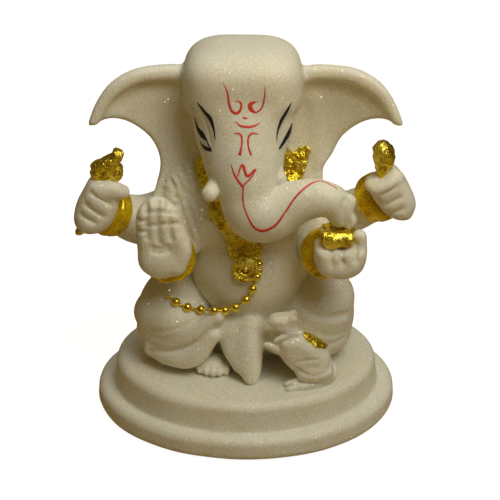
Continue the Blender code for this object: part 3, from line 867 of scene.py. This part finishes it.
TUSKS = {
    RIGHT: ((-4.0, -8.0, 52.8), (-6.4, -12.2, 51.2), (1.7, 1.5)),
    LEFT: ((4.6, -7.6, 54.8), (6.0, -10.2, 53.2), (1.8, 1.4)),
}


def sculpt_tusk(clay, side):
    root, tip, thick = TUSKS[side]
    clay.add(bar([root, tip], thick))


# ---------------------------------------------------------------- sculpting: arms and hands

ARMS = {
    "right_upper": (((-11.4, 5.4, 40.6), (-18.6, 3.4, 38.1), (-24.4, -1.4, 42.0)), (4.7, 5.0, 3.7)),
    "left_upper": (((11.4, 5.4, 41.0), (18.8, 3.2, 39.8), (25.0, -1.4, 45.2)), (4.4, 4.2, 3.4)),
    "right_lower": (((-10.8, 3.0, 42.0), (-14.6, -1.2, 34.4), (-14.7, -7.6, 36.8)), (4.2, 3.9, 3.9)),
    "left_lower": (((11.0, 3.0, 42.0), (13.4, -2.6, 35.6), (15.2, -9.8, 37.9)), (4.2, 3.8, 3.4)),
}


def sculpt_arm(clay, name):
    path, thick = ARMS[name]
    clay.add(bar(path, thick, steps=8))
    if name == "left_lower":  # two long edges with a flat between them
        clay.carve([(12.8, 41.0), (14.5, 38.3)], 0.4, -0.45)
        clay.carve([(8.5, 36.9), (10.5, 33.5)], 0.4, -0.45)
        clay.carve([(10.3, 39.2), (12.5, 36.0)], 1.6, 0.5)
    clay.rough(4.0, 0.08, 18)


def press_crease(clay, line):
    """The gap between two closed fingers: a sharp line in a soft hollow."""
    clay.carve(line, 0.8, 0.3)
    clay.carve(line, 0.3, 0.6)


def sculpt_right_upper_hand(clay):
    outline = [(-28.3, 51.0), (-29.9, 48.6), (-31.2, 45.9), (-31.8, 43.5), (-31.5, 41.7), (-30.4, 40.5)]
    outline += [(-28.6, 40.1), (-26.5, 40.6), (-24.6, 42.4), (-23.6, 44.8), (-23.2, 47.4), (-23.8, 49.6), (-25.8, 51.0)]
    clay.add(plate(outline, -8.9, -1.9, 3.1))
    clay.add(bar([(-26.4, -6.6, 49.6), (-24.2, -7.0, 49.5), (-22.6, -6.4, 48.8)], (1.4, 1.6, 1.35)), 1.0)
    for line in ([(-28.9, 45.3), (-25.4, 43.0)], [(-30.1, 42.9), (-27.2, 40.5)], [(-31.0, 40.7), (-28.7, 39.2)]):
        press_crease(clay, line)
    clay.rough(2.0, 0.05, 19)


def sculpt_left_upper_hand(clay):
    outline = [(22.0, 50.2), (22.9, 51.2), (23.9, 52.0), (25.6, 52.8), (27.1, 53.4), (28.2, 52.4), (29.2, 51.0)]
    outline += [(30.6, 48.4), (31.3, 46.4), (31.1, 44.8), (30.4, 43.4), (29.0, 43.0), (27.2, 43.4), (25.3, 44.8), (23.4, 47.4)]
    clay.add(plate(outline, -8.9, -1.9, 2.9))
    index = [(22.9, -6.6, 50.2), (24.2, -8.2, 50.0), (26.2, -8.2, 50.9), (27.8, -6.8, 52.0)]
    clay.add(bar(index, (1.0, 1.05, 1.05, 1.0)), 0.9)
    for line in ([(28.1, 46.6), (25.6, 45.0)], [(29.0, 44.4), (26.2, 42.9)], [(29.6, 42.1), (27.3, 41.0)]):
        press_crease(clay, line)
    clay.rough(2.0, 0.05, 20)


def sculpt_left_lower_hand(clay):
    outline = [(12.5, 41.4), (12.5, 39.0), (13.4, 36.6), (15.2, 35.5), (18.5, 35.3), (21.0, 36.7)]
    outline += [(21.9, 39.0), (21.8, 41.2), (20.2, 42.2), (17.0, 42.2), (14.0, 42.2)]
    clay.add(plate(outline, -16.8, -9.8, 2.4))
    clay.add(bar([(20.4, -14.0, 41.0), (20.6, -14.2, 43.6)], (1.6, 1.3)), 0.5)
    for line in ([(18.5, 34.4), (18.6, 30.2)], [(21.0, 34.8), (21.1, 30.8)]):
        clay.carve(line, 0.8, 0.3)
        clay.carve(line, 0.36, 0.55)
    clay.carve([(16.4, 33.6), (16.5, 29.8)], 0.4, 0.4)
    clay.rough(2.0, 0.05, 21)


PALM_LINES = (
    [(-18.7, 41.2), (-16.8, 41.4), (-14.6, 41.2), (-12.6, 41.1)],
    [(-18.7, 38.4), (-16.8, 38.6), (-14.5, 38.8), (-12.8, 38.8)],
    [(-20.5, 39.6), (-19.0, 39.6)],
    [(-20.5, 37.3), (-19.0, 37.3)],
    [(-17.8, 33.7), (-16.5, 33.4), (-15.0, 33.9)],
    [(-17.8, 32.9), (-16.5, 32.6), (-14.8, 33.1)],
    [(-16.5, 34.8), (-16.3, 34.7)],
)


def sculpt_right_lower_hand(clay):
    outline = [(-20.0, 44.4), (-19.8, 46.3), (-19.3, 47.7), (-18.3, 48.7), (-17.3, 49.6), (-16.0, 49.8), (-14.6, 49.5)]
    outline += [(-13.4, 48.4), (-12.1, 47.2), (-11.7, 45.4), (-10.6, 42.5), (-9.9, 39.9), (-10.2, 37.6), (-11.6, 35.1)]
    outline += [(-13.6, 34.2), (-15.9, 33.9), (-17.9, 34.7), (-19.3, 36.4), (-19.8, 39.6)]
    clay.add(plate(outline, -13.2, -8.8, 1.9))
    clay.add(ball((-15.4, -11.4, 37.2), (3.8, 2.3, 3.0)), 1.5)
    clay.add(bar([(-12.6, -12.2, 36.4), (-11.6, -12.2, 39.4), (-12.2, -12.2, 42.4)], (1.4, 1.2, 0.9)), 1.0)
    grooves = ([(-18.8, 44.0), (-18.8, 40.1), (-18.8, 35.8)], [(-16.7, 45.4), (-16.8, 40.4), (-16.7, 35.6)])
    for line in grooves + ([(-14.6, 44.4), (-14.5, 40.4), (-14.3, 35.7)],):
        clay.carve(line, 0.42, 1.0)
    for line in PALM_LINES:
        clay.carve(line, 0.36, 0.75)
    clay.carve([(-12.3, 38.7), (-11.9, 37.4), (-11.3, 35.0)], 0.4, 0.35)
    clay.rough(2.5, 0.04, 22)


# ---------------------------------------------------------------- sculpting: mouse


def sculpt_mouse_body(clay):
    outline = [(6.2, 21.0), (8.2, 22.2), (10.4, 22.3), (12.4, 21.4), (14.3, 19.8), (15.6, 18.1), (16.4, 15.6)]
    outline += [(16.7, 12.9), (15.4, 11.7), (12.4, 11.6), (10.2, 13.1), (7.9, 15.2), (6.4, 17.7)]
    clay.add(plate(outline, -14.6, -9.4, 2.4))
    clay.add(ball((12.9, -13.2, 14.2), (3.6, 2.0, 2.1)), 0.4)  # haunch
    near_arm = [(5.7, -13.3, 21.1), (7.2, -13.2, 21.8), (8.7, -12.9, 22.2), (10.2, -12.4, 21.9)]
    clay.add(bar(near_arm, (0.55, 0.65, 0.75, 0.9)), 0.15)
    clay.add(bar([(3.8, -12.8, 19.9), (5.0, -12.8, 19.6), (6.8, -12.6, 18.6)], (0.55, 0.75, 1.1)), 0.3)
    clay.add(bar([(7.8, -13.6, 11.7), (9.4, -13.4, 12.0), (11.4, -13.0, 12.4)], (0.55, 0.75, 0.9)), 0.3)
    clay.carve([(6.4, 12.5), (7.7, 13.0), (9.0, 13.9), (10.3, 13.8)], 0.3, 0.3)
    clay.carve([(9.4, 7.7), (11.7, 8.3), (14.4, 8.6)], 0.3, 0.3)
    clay.carve([(9.6, 7.0), (11.8, 5.2), (13.9, 4.8), (16.3, 6.0), (16.9, 8.4)], 0.35, 0.35)
    clay.rough(1.6, 0.05, 23)


def sculpt_mouse_head(clay):
    outline = [(4.0, 24.6), (5.1, 25.8), (7.3, 26.1), (9.0, 26.0), (9.4, 25.1), (9.2, 23.2), (8.4, 22.2)]
    clay.add(plate(outline + [(6.9, 22.5), (5.5, 23.0), (4.4, 24.0)], -13.4, -10.2, 1.2))
    clay.add(bar([(8.0, -11.8, 23.4), (8.8, -11.8, 21.4)], (1.5, 1.7)), 0.6)
    for y in (-12.9, -10.8):
        clay.add(ball((8.9, y, 25.5), (0.75, 0.55, 0.8)), 0.3)
    clay.carve([(5.9, 17.2), (6.8, 17.1), (7.6, 16.9)], 0.3, -0.25)
    clay.carve([(8.3, 18.2), (8.2, 16.8), (8.6, 15.6)], 0.35, 0.2)


def sculpt_mouse_tail(clay):
    path = [(17.0, -10.2, 13.2), (16.5, -11.6, 12.2), (14.2, -13.4, 11.8), (11.2, -14.3, 11.7), (8.0, -15.0, 11.5)]
    clay.add(bar(path, (0.7, 0.8, 0.75, 0.75, 0.45)))


# ---------------------------------------------------------------- the white pieces

# group, node, how the part is sculpted, and how widely it melts into its group
WHITE_PARTS = (
    ("plinth", "base_plinth", sculpt_plinth, 0.0),
    ("body", "torso", sculpt_torso, 0.0),
    ("body", "right_upper_arm", lambda c: sculpt_arm(c, "right_upper"), 2.4),
    ("body", "left_upper_arm", lambda c: sculpt_arm(c, "left_upper"), 2.4),
    ("body", "right_lower_arm", lambda c: sculpt_arm(c, "right_lower"), 1.6),
    ("body", "left_lower_arm", lambda c: sculpt_arm(c, "left_lower"), 1.2),
    ("body", "right_leg", sculpt_right_leg, 0.6),
    ("body", "left_leg", sculpt_left_leg, 0.6),
    ("body", "right_foot", sculpt_right_foot, 0.3),
    ("body", "front_drape", sculpt_drape, 1.4),
    ("head", "head", sculpt_head, 0.0),
    ("head", "trunk", sculpt_trunk, 2.4),
    ("head", "right_ear", lambda c: sculpt_ear(c, RIGHT), 1.2),
    ("head", "left_ear", lambda c: sculpt_ear(c, LEFT), 1.2),
    ("head", "right_tusk", lambda c: sculpt_tusk(c, RIGHT), 0.5),
    ("head", "left_tusk", lambda c: sculpt_tusk(c, LEFT), 0.5),
    ("body", "right_upper_hand", sculpt_right_upper_hand, 0.6),
    ("body", "left_upper_hand", sculpt_left_upper_hand, 0.6),
    ("body", "right_lower_hand", sculpt_right_lower_hand, 0.5),
    ("body", "left_lower_hand", sculpt_left_lower_hand, 0.5),
    ("mouse", "mouse_body", sculpt_mouse_body, 0.0),
    ("mouse", "mouse_head", sculpt_mouse_head, 0.6),
    ("mouse", "mouse_tail", sculpt_mouse_tail, 0.3),
)


def window(whole, part):
    """Slices that put a part's block inside the whole lattice."""
    start = part.first - whole.first
    return tuple(slice(a, a + n) for a, n in zip(start, part.count))


def sculpt_white():
    """Returns the whole surface and the body's alone as clay, and the parts with their windows into it."""
    low = np.array(cad_size[0]) / MM - REACH - 1
    high = np.array(cad_size[1]) / MM + REACH + 1
    whole = Clay(low, high)
    body = Clay(low, high)
    nearest = np.full(whole.count, FAR, np.float32)
    second = np.full(whole.count, FAR, np.float32)
    groups = {}
    parts = []
    for group, node, sculpt, blend in WHITE_PARTS:
        low, high = cad_box(node)
        part = Clay(low - REACH, high + REACH)
        sculpt(part)
        place = window(whole, part)
        field = groups.setdefault(group, np.full(whole.count, FAR, np.float32))
        field[place] = soft_min(field[place], part.field, blend)
        closer = part.field < nearest[place]
        second[place] = np.where(closer, nearest[place], np.minimum(second[place], part.field))
        nearest[place] = np.minimum(nearest[place], part.field)
        parts.append((node, part, place))
    for field in groups.values():
        whole.field = soft_min(whole.field, field, SEAM)
    body.field = groups["body"]
    return whole, body, nearest, second, parts


def cast_white(whole, nearest, second, parts):
    """Cuts each part from the whole surface and makes its mesh."""
    made = {}
    for node, part, place in parts:
        own = part.field
        other = np.where(own <= nearest[place], second[place], nearest[place])
        lead = own - other
        sunk = whole.field[place] + DIVE * np.maximum(lead, 0)
        part.field = np.maximum(sunk, lead - OVERLAP).astype(np.float32)
        share = 0.6 if node == "base_plinth" else 1.0
        made[node] = cast(node + "_cast", part, [node], MARBLE, share)
    return made


# ---------------------------------------------------------------- gold


def gold_clay(node, margin=2.0):
    low, high = cad_box(node)
    return Clay(low - margin, high + margin, GOLD_STEP)


def lies_on(clay, surface, depth):
    """Cuts away what stands more than the given depth proud of the white surface, following its form."""
    grid = np.stack(np.meshgrid(*[a.ravel() for a in clay.axes()], indexing="ij"), axis=-1)
    under = sampled(surface, grid.reshape(-1, 3)).reshape(clay.field.shape)
    clay.field = -soft_min(-clay.field, -(under - depth), 0.3).astype(np.float32)
    clay.field = np.maximum(clay.field, -(under + 0.6)).astype(np.float32)


def foil(clay, depth=0.16, seed=31):
    clay.rough(0.95, depth, seed)
    clay.rough(0.5, depth * 0.6, seed + 1)


def gold_patch(node, shapes, surface, proud, grain, seed):
    """A gold piece made of shapes that melt together, kept close to a white surface if one is given."""
    clay = gold_clay(node, 3.0)
    for shape in shapes:
        clay.add(shape, 0.4)
    if surface is not None:
        lies_on(clay, surface, proud)
    foil(clay, grain, seed)
    return cast(node + "_gold", clay, [node], GOLD)




def make_necklace(body, whole):
    strap = [(-9.3, 52.4), (-8.8, 47.6), (-8.2, 46.0), (-7.5, 44.4), (-7.1, 42.8), (-7.0, 40.4), (-5.7, 38.4)]
    strap += [(-4.3, 36.4), (-3.9, 34.8), (-3.6, 33.2), (-3.2, 31.5), (-2.3, 30.5), (-2.5, 28.6), (-1.4, 26.7)]
    strap += [(0.8, 26.1), (2.7, 26.7), (3.1, 28.6), (2.9, 31.5), (2.6, 36.0), (-1.0, 40.0), (-4.4, 45.0), (-5.6, 52.4)]
    link = [(1.6, 35.5), (3.5, 36.0), (8.0, 43.0), (11.0, 47.5), (10.6, 50.4), (7.0, 50.4), (4.0, 44.0), (0.5, 38.5)]
    clay = gold_clay("necklace", 3.0)
    clay.add(stencil(strap, -12.5, 2.0))
    clay.add(stencil(link, -12.5, 3.5))
    lies_on(clay, body, 0.6)
    clay.carve([(-7.4, 46.5), (-6.2, 42.5), (-4.6, 38.6), (-1.8, 35.6), (0.6, 33.6)], 0.9, 0.35)
    patch = [(6.6, 51.0), (6.9, 52.6), (7.9, 54.4), (8.9, 53.8), (10.0, 55.0), (11.6, 54.9), (11.4, 52.6), (11.0, 50.4)]
    patch += [(10.2, 48.0), (8.4, 47.0), (5.0, 44.0), (5.0, 48.0)]
    upper = gold_clay("necklace", 3.0)
    upper.add(stencil(patch, -4.6, 4.0))
    lies_on(upper, whole, 0.9)
    upper.rough(1.2, 0.3, 30)
    clay.field = soft_min(clay.field, upper.field, 0.3)
    foil(clay, 0.2, 31)
    cast("necklace_gold", clay, ["necklace"], GOLD)


PENDANT_SPOT = (-0.1, 29.3)


PENDANT_TILT = 20


PENDANT_RINGS = ((2.1, 0.4), (1.2, 0.36), (0.1, 0.5))


SIDEWAYS = np.array((1.0, 0.0, 0.0))


def make_pendant(body):
    """A round boss with raised rings, tipped up to face the viewer."""
    clay = gold_clay("pendant", 3.0)
    centre = seen(body, *PENDANT_SPOT)
    tilt = math.radians(PENDANT_TILT)
    facing = np.array((0.0, -math.cos(tilt), math.sin(tilt)))
    upward = np.array((0.0, math.sin(tilt), math.cos(tilt)))
    clay.add(ball(centre, (2.3, 0.9, 2.3), (PENDANT_TILT, 0, 0), 2.6))
    angles = np.linspace(0, 2 * math.pi, 25)
    for radius, thick in PENDANT_RINGS:
        ring = [centre + facing * 1.05 + radius * (math.cos(a) * SIDEWAYS + math.sin(a) * upward) for a in angles]
        clay.add(bar(ring, thick, steps=1), 0.05)
    foil(clay, 0.05, 33)
    cast("pendant_gold", clay, ["pendant"], GOLD)


BEAD = 0.88


BEAD_LINE = (
    (-15.0, 23.5), (-13.6, 21.8), (-11.4, 20.6), (-8.8, 20.1), (-6.2, 19.9), (-4.1, 19.9),
    (-2.0, 20.6), (0.0, 22.3), (1.3, 24.7), (2.1, 27.4), (2.5, 30.2),
)


def make_beads(body):
    """Beads that rest on the belly where their string is seen to run."""
    clay = gold_clay("bead_string", 3.0)
    spots = np.array([seen(body, x, z) for x, z in BEAD_LINE])
    for _ in range(3):  # the string spans hollows instead of dipping into them
        middle = (spots[:-2] + spots[2:]) / 2
        depth = np.minimum(spots[1:-1, 1], middle[:, 1] + 0.2)
        reach = (depth - EYE[1]) / (spots[1:-1, 1] - EYE[1])
        spots[1:-1] = EYE + (spots[1:-1] - EYE) * reach[:, None]
    sight = (EYE - spots) / np.linalg.norm(EYE - spots, axis=1)[:, None]
    spots = spots + sight * BEAD * 0.6
    for spot in spots:
        clay.add(ball(spot, (BEAD, BEAD, BEAD)))
    clay.add(bar(spots, 0.22, steps=3), 0.15)
    cast("bead_string_gold", clay, ["bead_string"], SMOOTH_GOLD)


# how far each cuff stands from the middle of its CAD ring, its radius, and half its length
CUFFS = {
    "right_upper": ((-0.7, -1.0, 0.4), 4.7, 1.7),
    "left_upper": ((-0.5, 0.0, 0.0), 4.7, 1.8),
    "right_lower": ((0.5, -0.4, -0.6), 5.0, 0.8),
    "left_lower": ((-0.3, 0.4, -0.1), 4.9, 1.6),
}


def make_bangle(name):
    """A cuff round the wrist: a short, stout length of the forearm's own axis, rough on its underside."""
    node = name + "_bangle"
    low, high = cad_box(node)
    shift, radius, reach = CUFFS[name]
    path, _ = ARMS[name]
    along = np.array(path[-1]) - np.array(path[-2])
    along = along / np.linalg.norm(along)
    centre = (low + high) / 2 + shift
    clay = gold_clay(node, 2.0)
    clay.add(bar([centre - along * reach, centre + along * reach], (radius - 0.1, radius + 0.1)))

    def ends(x, y, z):
        run = (x - centre[0]) * along[0] + (y - centre[1]) * along[1] + (z - centre[2]) * along[2]
        return np.abs(run) - reach

    clay.field = -soft_min(-clay.field, -ends(*clay.axes()), 1.2).astype(np.float32)
    x, y, z = clay.axes()
    low_side = np.clip((centre[2] - 1.0 - z) / 2.0, 0.0, 1.0)
    clay.field = (clay.field + 0.2 * low_side * bumps(x, y, z, 0.8, 41)).astype(np.float32)
    cast(node + "_gold", clay, [node], CUFF_GOLD, 1.0)


def make_axe():
    outline = [(-28.2, 50.0), (-28.3, 52.8), (-27.9, 54.1), (-26.2, 54.8), (-24.4, 56.1), (-24.0, 56.7), (-23.1, 56.8)]
    outline += [(-22.3, 56.2), (-22.4, 55.0), (-22.9, 53.9), (-22.4, 53.0), (-22.8, 50.9), (-24.0, 49.6), (-26.3, 49.2)]
    handle = bar([(-30.9, -5.4, 40.1), (-27.6, -5.6, 46.0), (-25.8, -5.5, 51.6)], 0.85)
    return gold_patch("axe", (plate(outline, -6.8, -3.6, 1.4), handle), None, 0, 0.24, 35)


def make_lotus():
    outline = [(23.6, 53.1), (23.2, 55.4), (23.2, 57.3), (24.0, 58.4), (25.0, 58.6), (26.2, 57.9), (27.0, 56.4)]
    outline += [(27.0, 54.4), (26.3, 53.1), (25.3, 51.3), (24.3, 51.2)]
    stalk = bar([(24.8, -6.0, 52.6), (25.6, -6.0, 49.0), (27.2, -6.0, 46.6)], 0.9)
    return gold_patch("lotus_bud", (plate(outline, -7.7, -3.6, 1.8), stalk), None, 0, 0.2, 37)


def make_laddu():
    outline = [(13.6, 44.6), (14.8, 45.0), (17.0, 45.0), (19.0, 44.7), (19.7, 43.8), (19.3, 42.8), (17.3, 42.0), (15.0, 41.8), (13.8, 42.6)]
    return gold_patch("laddu", (plate(outline, -16.4, -10.8, 1.1),), None, 0, 0.18, 39)


def make_saddle(whole):
    outline = [(11.2, 15.3), (12.9, 14.7), (14.5, 13.5), (16.2, 12.0), (15.4, 11.1), (13.9, 11.3), (12.5, 12.6), (11.6, 13.9)]
    return gold_patch("mouse_saddle", (stencil(outline, -17.0, -8.5),), whole, 0.3, 0.14, 43)


# ---------------------------------------------------------------- paint

PAINT_HIGH = 0.05  # how proud a stroke stands
PAINT_DEEP = 0.12  # how deep its underside is sunk
STROKE_STEP = 0.15


def surface_tree(*objects):
    points = []
    faces = []
    for made in objects:
        start = len(points)
        points.extend(v.co / MM for v in made.data.vertices)
        faces.extend([start + i for i in p.vertices] for p in made.data.polygons)
    return BVHTree.FromPolygons(points, faces)


def brush(tree, points, widths):
    """One stroke: a thin closed ribbon laid on the surface, seen from the front at (x, z) on the middle plane."""
    rows = smooth_path(np.column_stack([points, widths]), 8)
    run = np.concatenate([[0], np.cumsum(np.linalg.norm(np.diff(rows[:, :2], axis=0), axis=1))])
    places = np.linspace(0, run[-1], max(4, int(run[-1] / STROKE_STEP)))
    rows = np.column_stack([np.interp(places, run, rows[:, k]) for k in range(3)])
    spots = []
    for x, z, width in rows:
        direction = Vector((x, 0.0, z)) - Vector(EYE)
        hit, normal, _, _ = tree.ray_cast(Vector(EYE), direction.normalized())
        if hit is not None:
            spots.append((hit, normal, width))
    section = ((-0.5, -PAINT_DEEP), (-0.5, 0.0), (-0.25, PAINT_HIGH), (0.25, PAINT_HIGH), (0.5, 0.0), (0.5, -PAINT_DEEP))
    verts = []
    for k, (hit, normal, width) in enumerate(spots):
        ahead = spots[min(k + 1, len(spots) - 1)][0] - spots[max(k - 1, 0)][0]
        across = normal.cross(ahead).normalized()
        for share, lift in section:
            near, up, _, _ = tree.find_nearest(hit + across * (share * width))
            verts.append(near + up * lift)
    size = len(section)
    faces = [
        (k * size + j, k * size + (j + 1) % size, (k + 1) * size + (j + 1) % size, (k + 1) * size + j)
        for k in range(len(spots) - 1)
        for j in range(size)
    ]
    last = (len(spots) - 1) * size
    faces.append(tuple(range(size))[::-1])
    faces.append(tuple(last + j for j in range(size)))
    return verts, faces


def paint(name, tree, strokes, material):
    """A piece made of brush strokes, each a list of (x, z) points and their widths."""
    verts = []
    faces = []
    for points, widths in strokes:
        more, sides = brush(tree, points, widths)
        start = len(verts)
        verts.extend(tuple(v) for v in more)
        faces.extend(tuple(start + i for i in side) for side in sides)
    made = make_object(name, verts, faces)
    return finish_piece(made, [], material)


def paint_forehead(tree):
    strokes = (
        ([(-4.1, 67.6), (-3.3, 65.6), (-3.0, 63.4), (-2.4, 61.9), (-1.4, 61.7), (-0.8, 62.8), (-1.0, 63.8), (-2.0, 64.1)],
         (0.1, 0.3, 0.42, 0.5, 0.5, 0.4, 0.35, 0.1)),
        ([(3.5, 66.9), (3.4, 64.6), (2.9, 62.6), (1.9, 61.8), (1.0, 62.4), (0.9, 63.4), (2.2, 64.0)],
         (0.1, 0.28, 0.3, 0.34, 0.8, 0.7, 0.1)),
        ([(-0.5, 60.7), (0.3, 60.6)], (0.4, 0.3)),
        ([(-1.9, 60.0), (-0.9, 59.1), (0.3, 58.9), (1.6, 59.1), (2.6, 59.7)], (0.12, 0.42, 0.42, 0.38, 0.12)),
    )
    return paint("forehead_paint", tree, strokes, RED_PAINT)


def paint_brow_ornament(tree):
    """Two leaf strokes and a drop, in place of the mark the original carries here."""
    strokes = (
        ([(-2.2, 57.6), (-1.1, 57.5), (-0.7, 56.6), (-0.8, 54.9), (-1.1, 53.2)], (0.12, 0.34, 0.36, 0.3, 0.62)),
        ([(2.4, 57.4), (1.2, 57.6), (0.5, 56.7), (0.5, 54.9), (1.0, 53.2)], (0.12, 0.34, 0.36, 0.3, 0.4)),
    )
    return paint("ornament_paint", tree, strokes, RED_PAINT)


def paint_trunk(tree):
    strokes = (
        ([(-2.7, 51.2), (-2.0, 49.0), (-0.6, 46.7)], (0.2, 0.4, 0.5)),
        ([(1.9, 50.4), (1.0, 48.6), (-0.5, 46.9)], (0.35, 0.25, 0.3)),
        ([(-1.5, 48.8), (-1.0, 50.6), (-0.5, 51.1), (0.3, 48.9), (1.8, 50.4)], (0.2, 0.35, 0.5, 0.5, 0.3)),
        ([(-0.5, 46.9), (-0.4, 42.9), (1.2, 38.7), (3.1, 37.4), (5.5, 38.5), (7.4, 41.3), (9.4, 44.6), (11.7, 47.0), (13.9, 47.9), (16.5, 46.8), (17.2, 46.0)],
         (0.3, 0.3, 0.42, 0.62, 0.5, 0.34, 0.36, 0.4, 0.34, 0.25, 0.1)),
    )
    return paint("trunk_paint", tree, strokes, RED_PAINT)


def paint_eyes(tree):
    right = (
        ([(-8.9, 63.8), (-8.3, 63.0), (-7.5, 61.8), (-6.5, 60.5), (-5.9, 58.5), (-5.6, 56.3)], (0.12, 0.5, 0.75, 0.9, 0.5, 0.15)),
        ([(-9.35, 61.0), (-9.1, 59.7), (-8.8, 58.6), (-8.3, 57.7), (-7.8, 57.0), (-7.2, 56.2), (-6.8, 55.1), (-6.3, 54.1)],
         (0.15, 0.5, 0.75, 1.15, 1.15, 0.4, 0.35, 0.4)),
        ([(-8.4, 56.1), (-8.1, 55.3), (-7.6, 54.7), (-7.0, 54.4), (-6.3, 54.1)], (0.15, 0.5, 0.85, 0.7, 0.4)),
    )
    left = (
        ([(8.4, 63.8), (7.6, 62.1), (6.6, 60.2), (5.9, 58.0), (5.7, 56.0)], (0.15, 0.7, 0.85, 0.5, 0.15)),
        ([(8.5, 59.6), (8.1, 57.9), (7.3, 56.3), (6.2, 54.4)], (0.5, 1.3, 1.0, 0.5)),
    )
    paint("right_eye_paint", tree, right, BLACK_PAINT)
    paint("left_eye_paint", tree, left, BLACK_PAINT)


# ---------------------------------------------------------------- pad, floor, lights and camera


def make_pad():
    low, high = cad_box("felt_pad")
    clay = Clay(low - 1, high + 1)
    clay.add(oval_slab(high[0], DEPTH_SHARE, low[2], high[2], 0.25))
    cast("felt_pad_cut", clay, ["felt_pad"], FELT)


def camera_only(tree, seen, felt):
    """A shader that the camera sees as one thing and that lights the figure as another."""
    path = tree.nodes.new("ShaderNodeLightPath")
    mix = tree.nodes.new("ShaderNodeMixShader")
    tree.links.new(path.outputs["Is Camera Ray"], mix.inputs[0])
    tree.links.new(felt, mix.inputs[1])
    tree.links.new(seen, mix.inputs[2])
    return mix.outputs[0]


def make_floor():
    size = 3000.0
    corners = [(-size, -size, 0), (size, -size, 0), (size, size, 0), (-size, size, 0)]
    floor = make_object("floor", corners, [(0, 1, 2, 3)])
    n = Nodes("pale_floor")
    n.set(Base_Color=(0.46, 0.34, 0.16, 1.0), Roughness=0.9)
    glow = n.tree.nodes.new("ShaderNodeEmission")
    glow.inputs["Strength"].default_value = 0.95
    both = n.tree.nodes.new("ShaderNodeAddShader")
    n.tree.links.new(glow.outputs[0], both.inputs[0])
    n.tree.links.new(n.shader.outputs[0], both.inputs[1])
    n.link(camera_only(n.tree, both.outputs[0], n.shader.outputs[0]), n.output, "Surface")
    floor.data.materials.append(n.material)


def area_light(name, place, size, power, colour):
    light = bpy.data.lights.new(name, "AREA")
    light.shape = "DISK"
    light.size = size * MM
    light.energy = power
    light.color = colour
    lamp = bpy.data.objects.new(name, light)
    lamp.location = Vector(place) * MM
    aim = Vector(LOOK_AT) * MM - lamp.location
    lamp.rotation_euler = aim.to_track_quat("-Z", "Y").to_euler()
    bpy.context.scene.collection.objects.link(lamp)


def make_world():
    world = bpy.data.worlds.new("room")
    world.use_nodes = True
    tree = world.node_tree
    room = tree.nodes["Background"]
    room.inputs["Color"].default_value = (1.0, 0.66, 0.20, 1.0)
    room.inputs["Strength"].default_value = 0.098
    paper = tree.nodes.new("ShaderNodeBackground")
    paper.inputs["Color"].default_value = (1.0, 1.0, 1.0, 1.0)
    paper.inputs["Strength"].default_value = 1.0
    output = next(node for node in tree.nodes if node.type == "OUTPUT_WORLD")
    tree.links.new(camera_only(tree, paper.outputs[0], room.outputs[0]), output.inputs["Surface"])
    bpy.context.scene.world = world


def set_stage():
    make_floor()
    area_light("top_light", (20, 80, 430), 340, 0.34, (0.895, 0.965, 1.0))
    area_light("key_light", (140, -200, 395), 260, 0.74, (0.895, 0.965, 1.0))
    area_light("face_light", (35, -60, 150), 50, 0.022, (1.0, 0.72, 0.34))
    make_world()
    camera = bpy.data.cameras.new("camera")
    camera.lens = LENS
    camera.sensor_width = SENSOR_WIDTH
    camera.clip_start = 10 * MM
    viewer = bpy.data.objects.new("camera", camera)
    viewer.location = Vector(EYE) * MM
    aim = Vector(LOOK_AT - EYE)
    viewer.rotation_euler = aim.to_track_quat("-Z", "Y").to_euler()
    bpy.context.scene.collection.objects.link(viewer)
    bpy.context.scene.camera = viewer
    bpy.context.scene.view_settings.view_transform = "Standard"


# ---------------------------------------------------------------- everything together

whole, body, nearest, second, parts = sculpt_white()
white = cast_white(whole, nearest, second, parts)
make_pad()
make_necklace(body, whole)
make_pendant(body)
make_beads(body)
make_axe()
make_lotus()
make_laddu()
make_saddle(whole)
for arm in ARMS:
    make_bangle(arm)
face = surface_tree(white["head"], white["trunk"])
paint_forehead(face)
paint_brow_ornament(face)
paint_trunk(face)
paint_eyes(face)
set_stage()
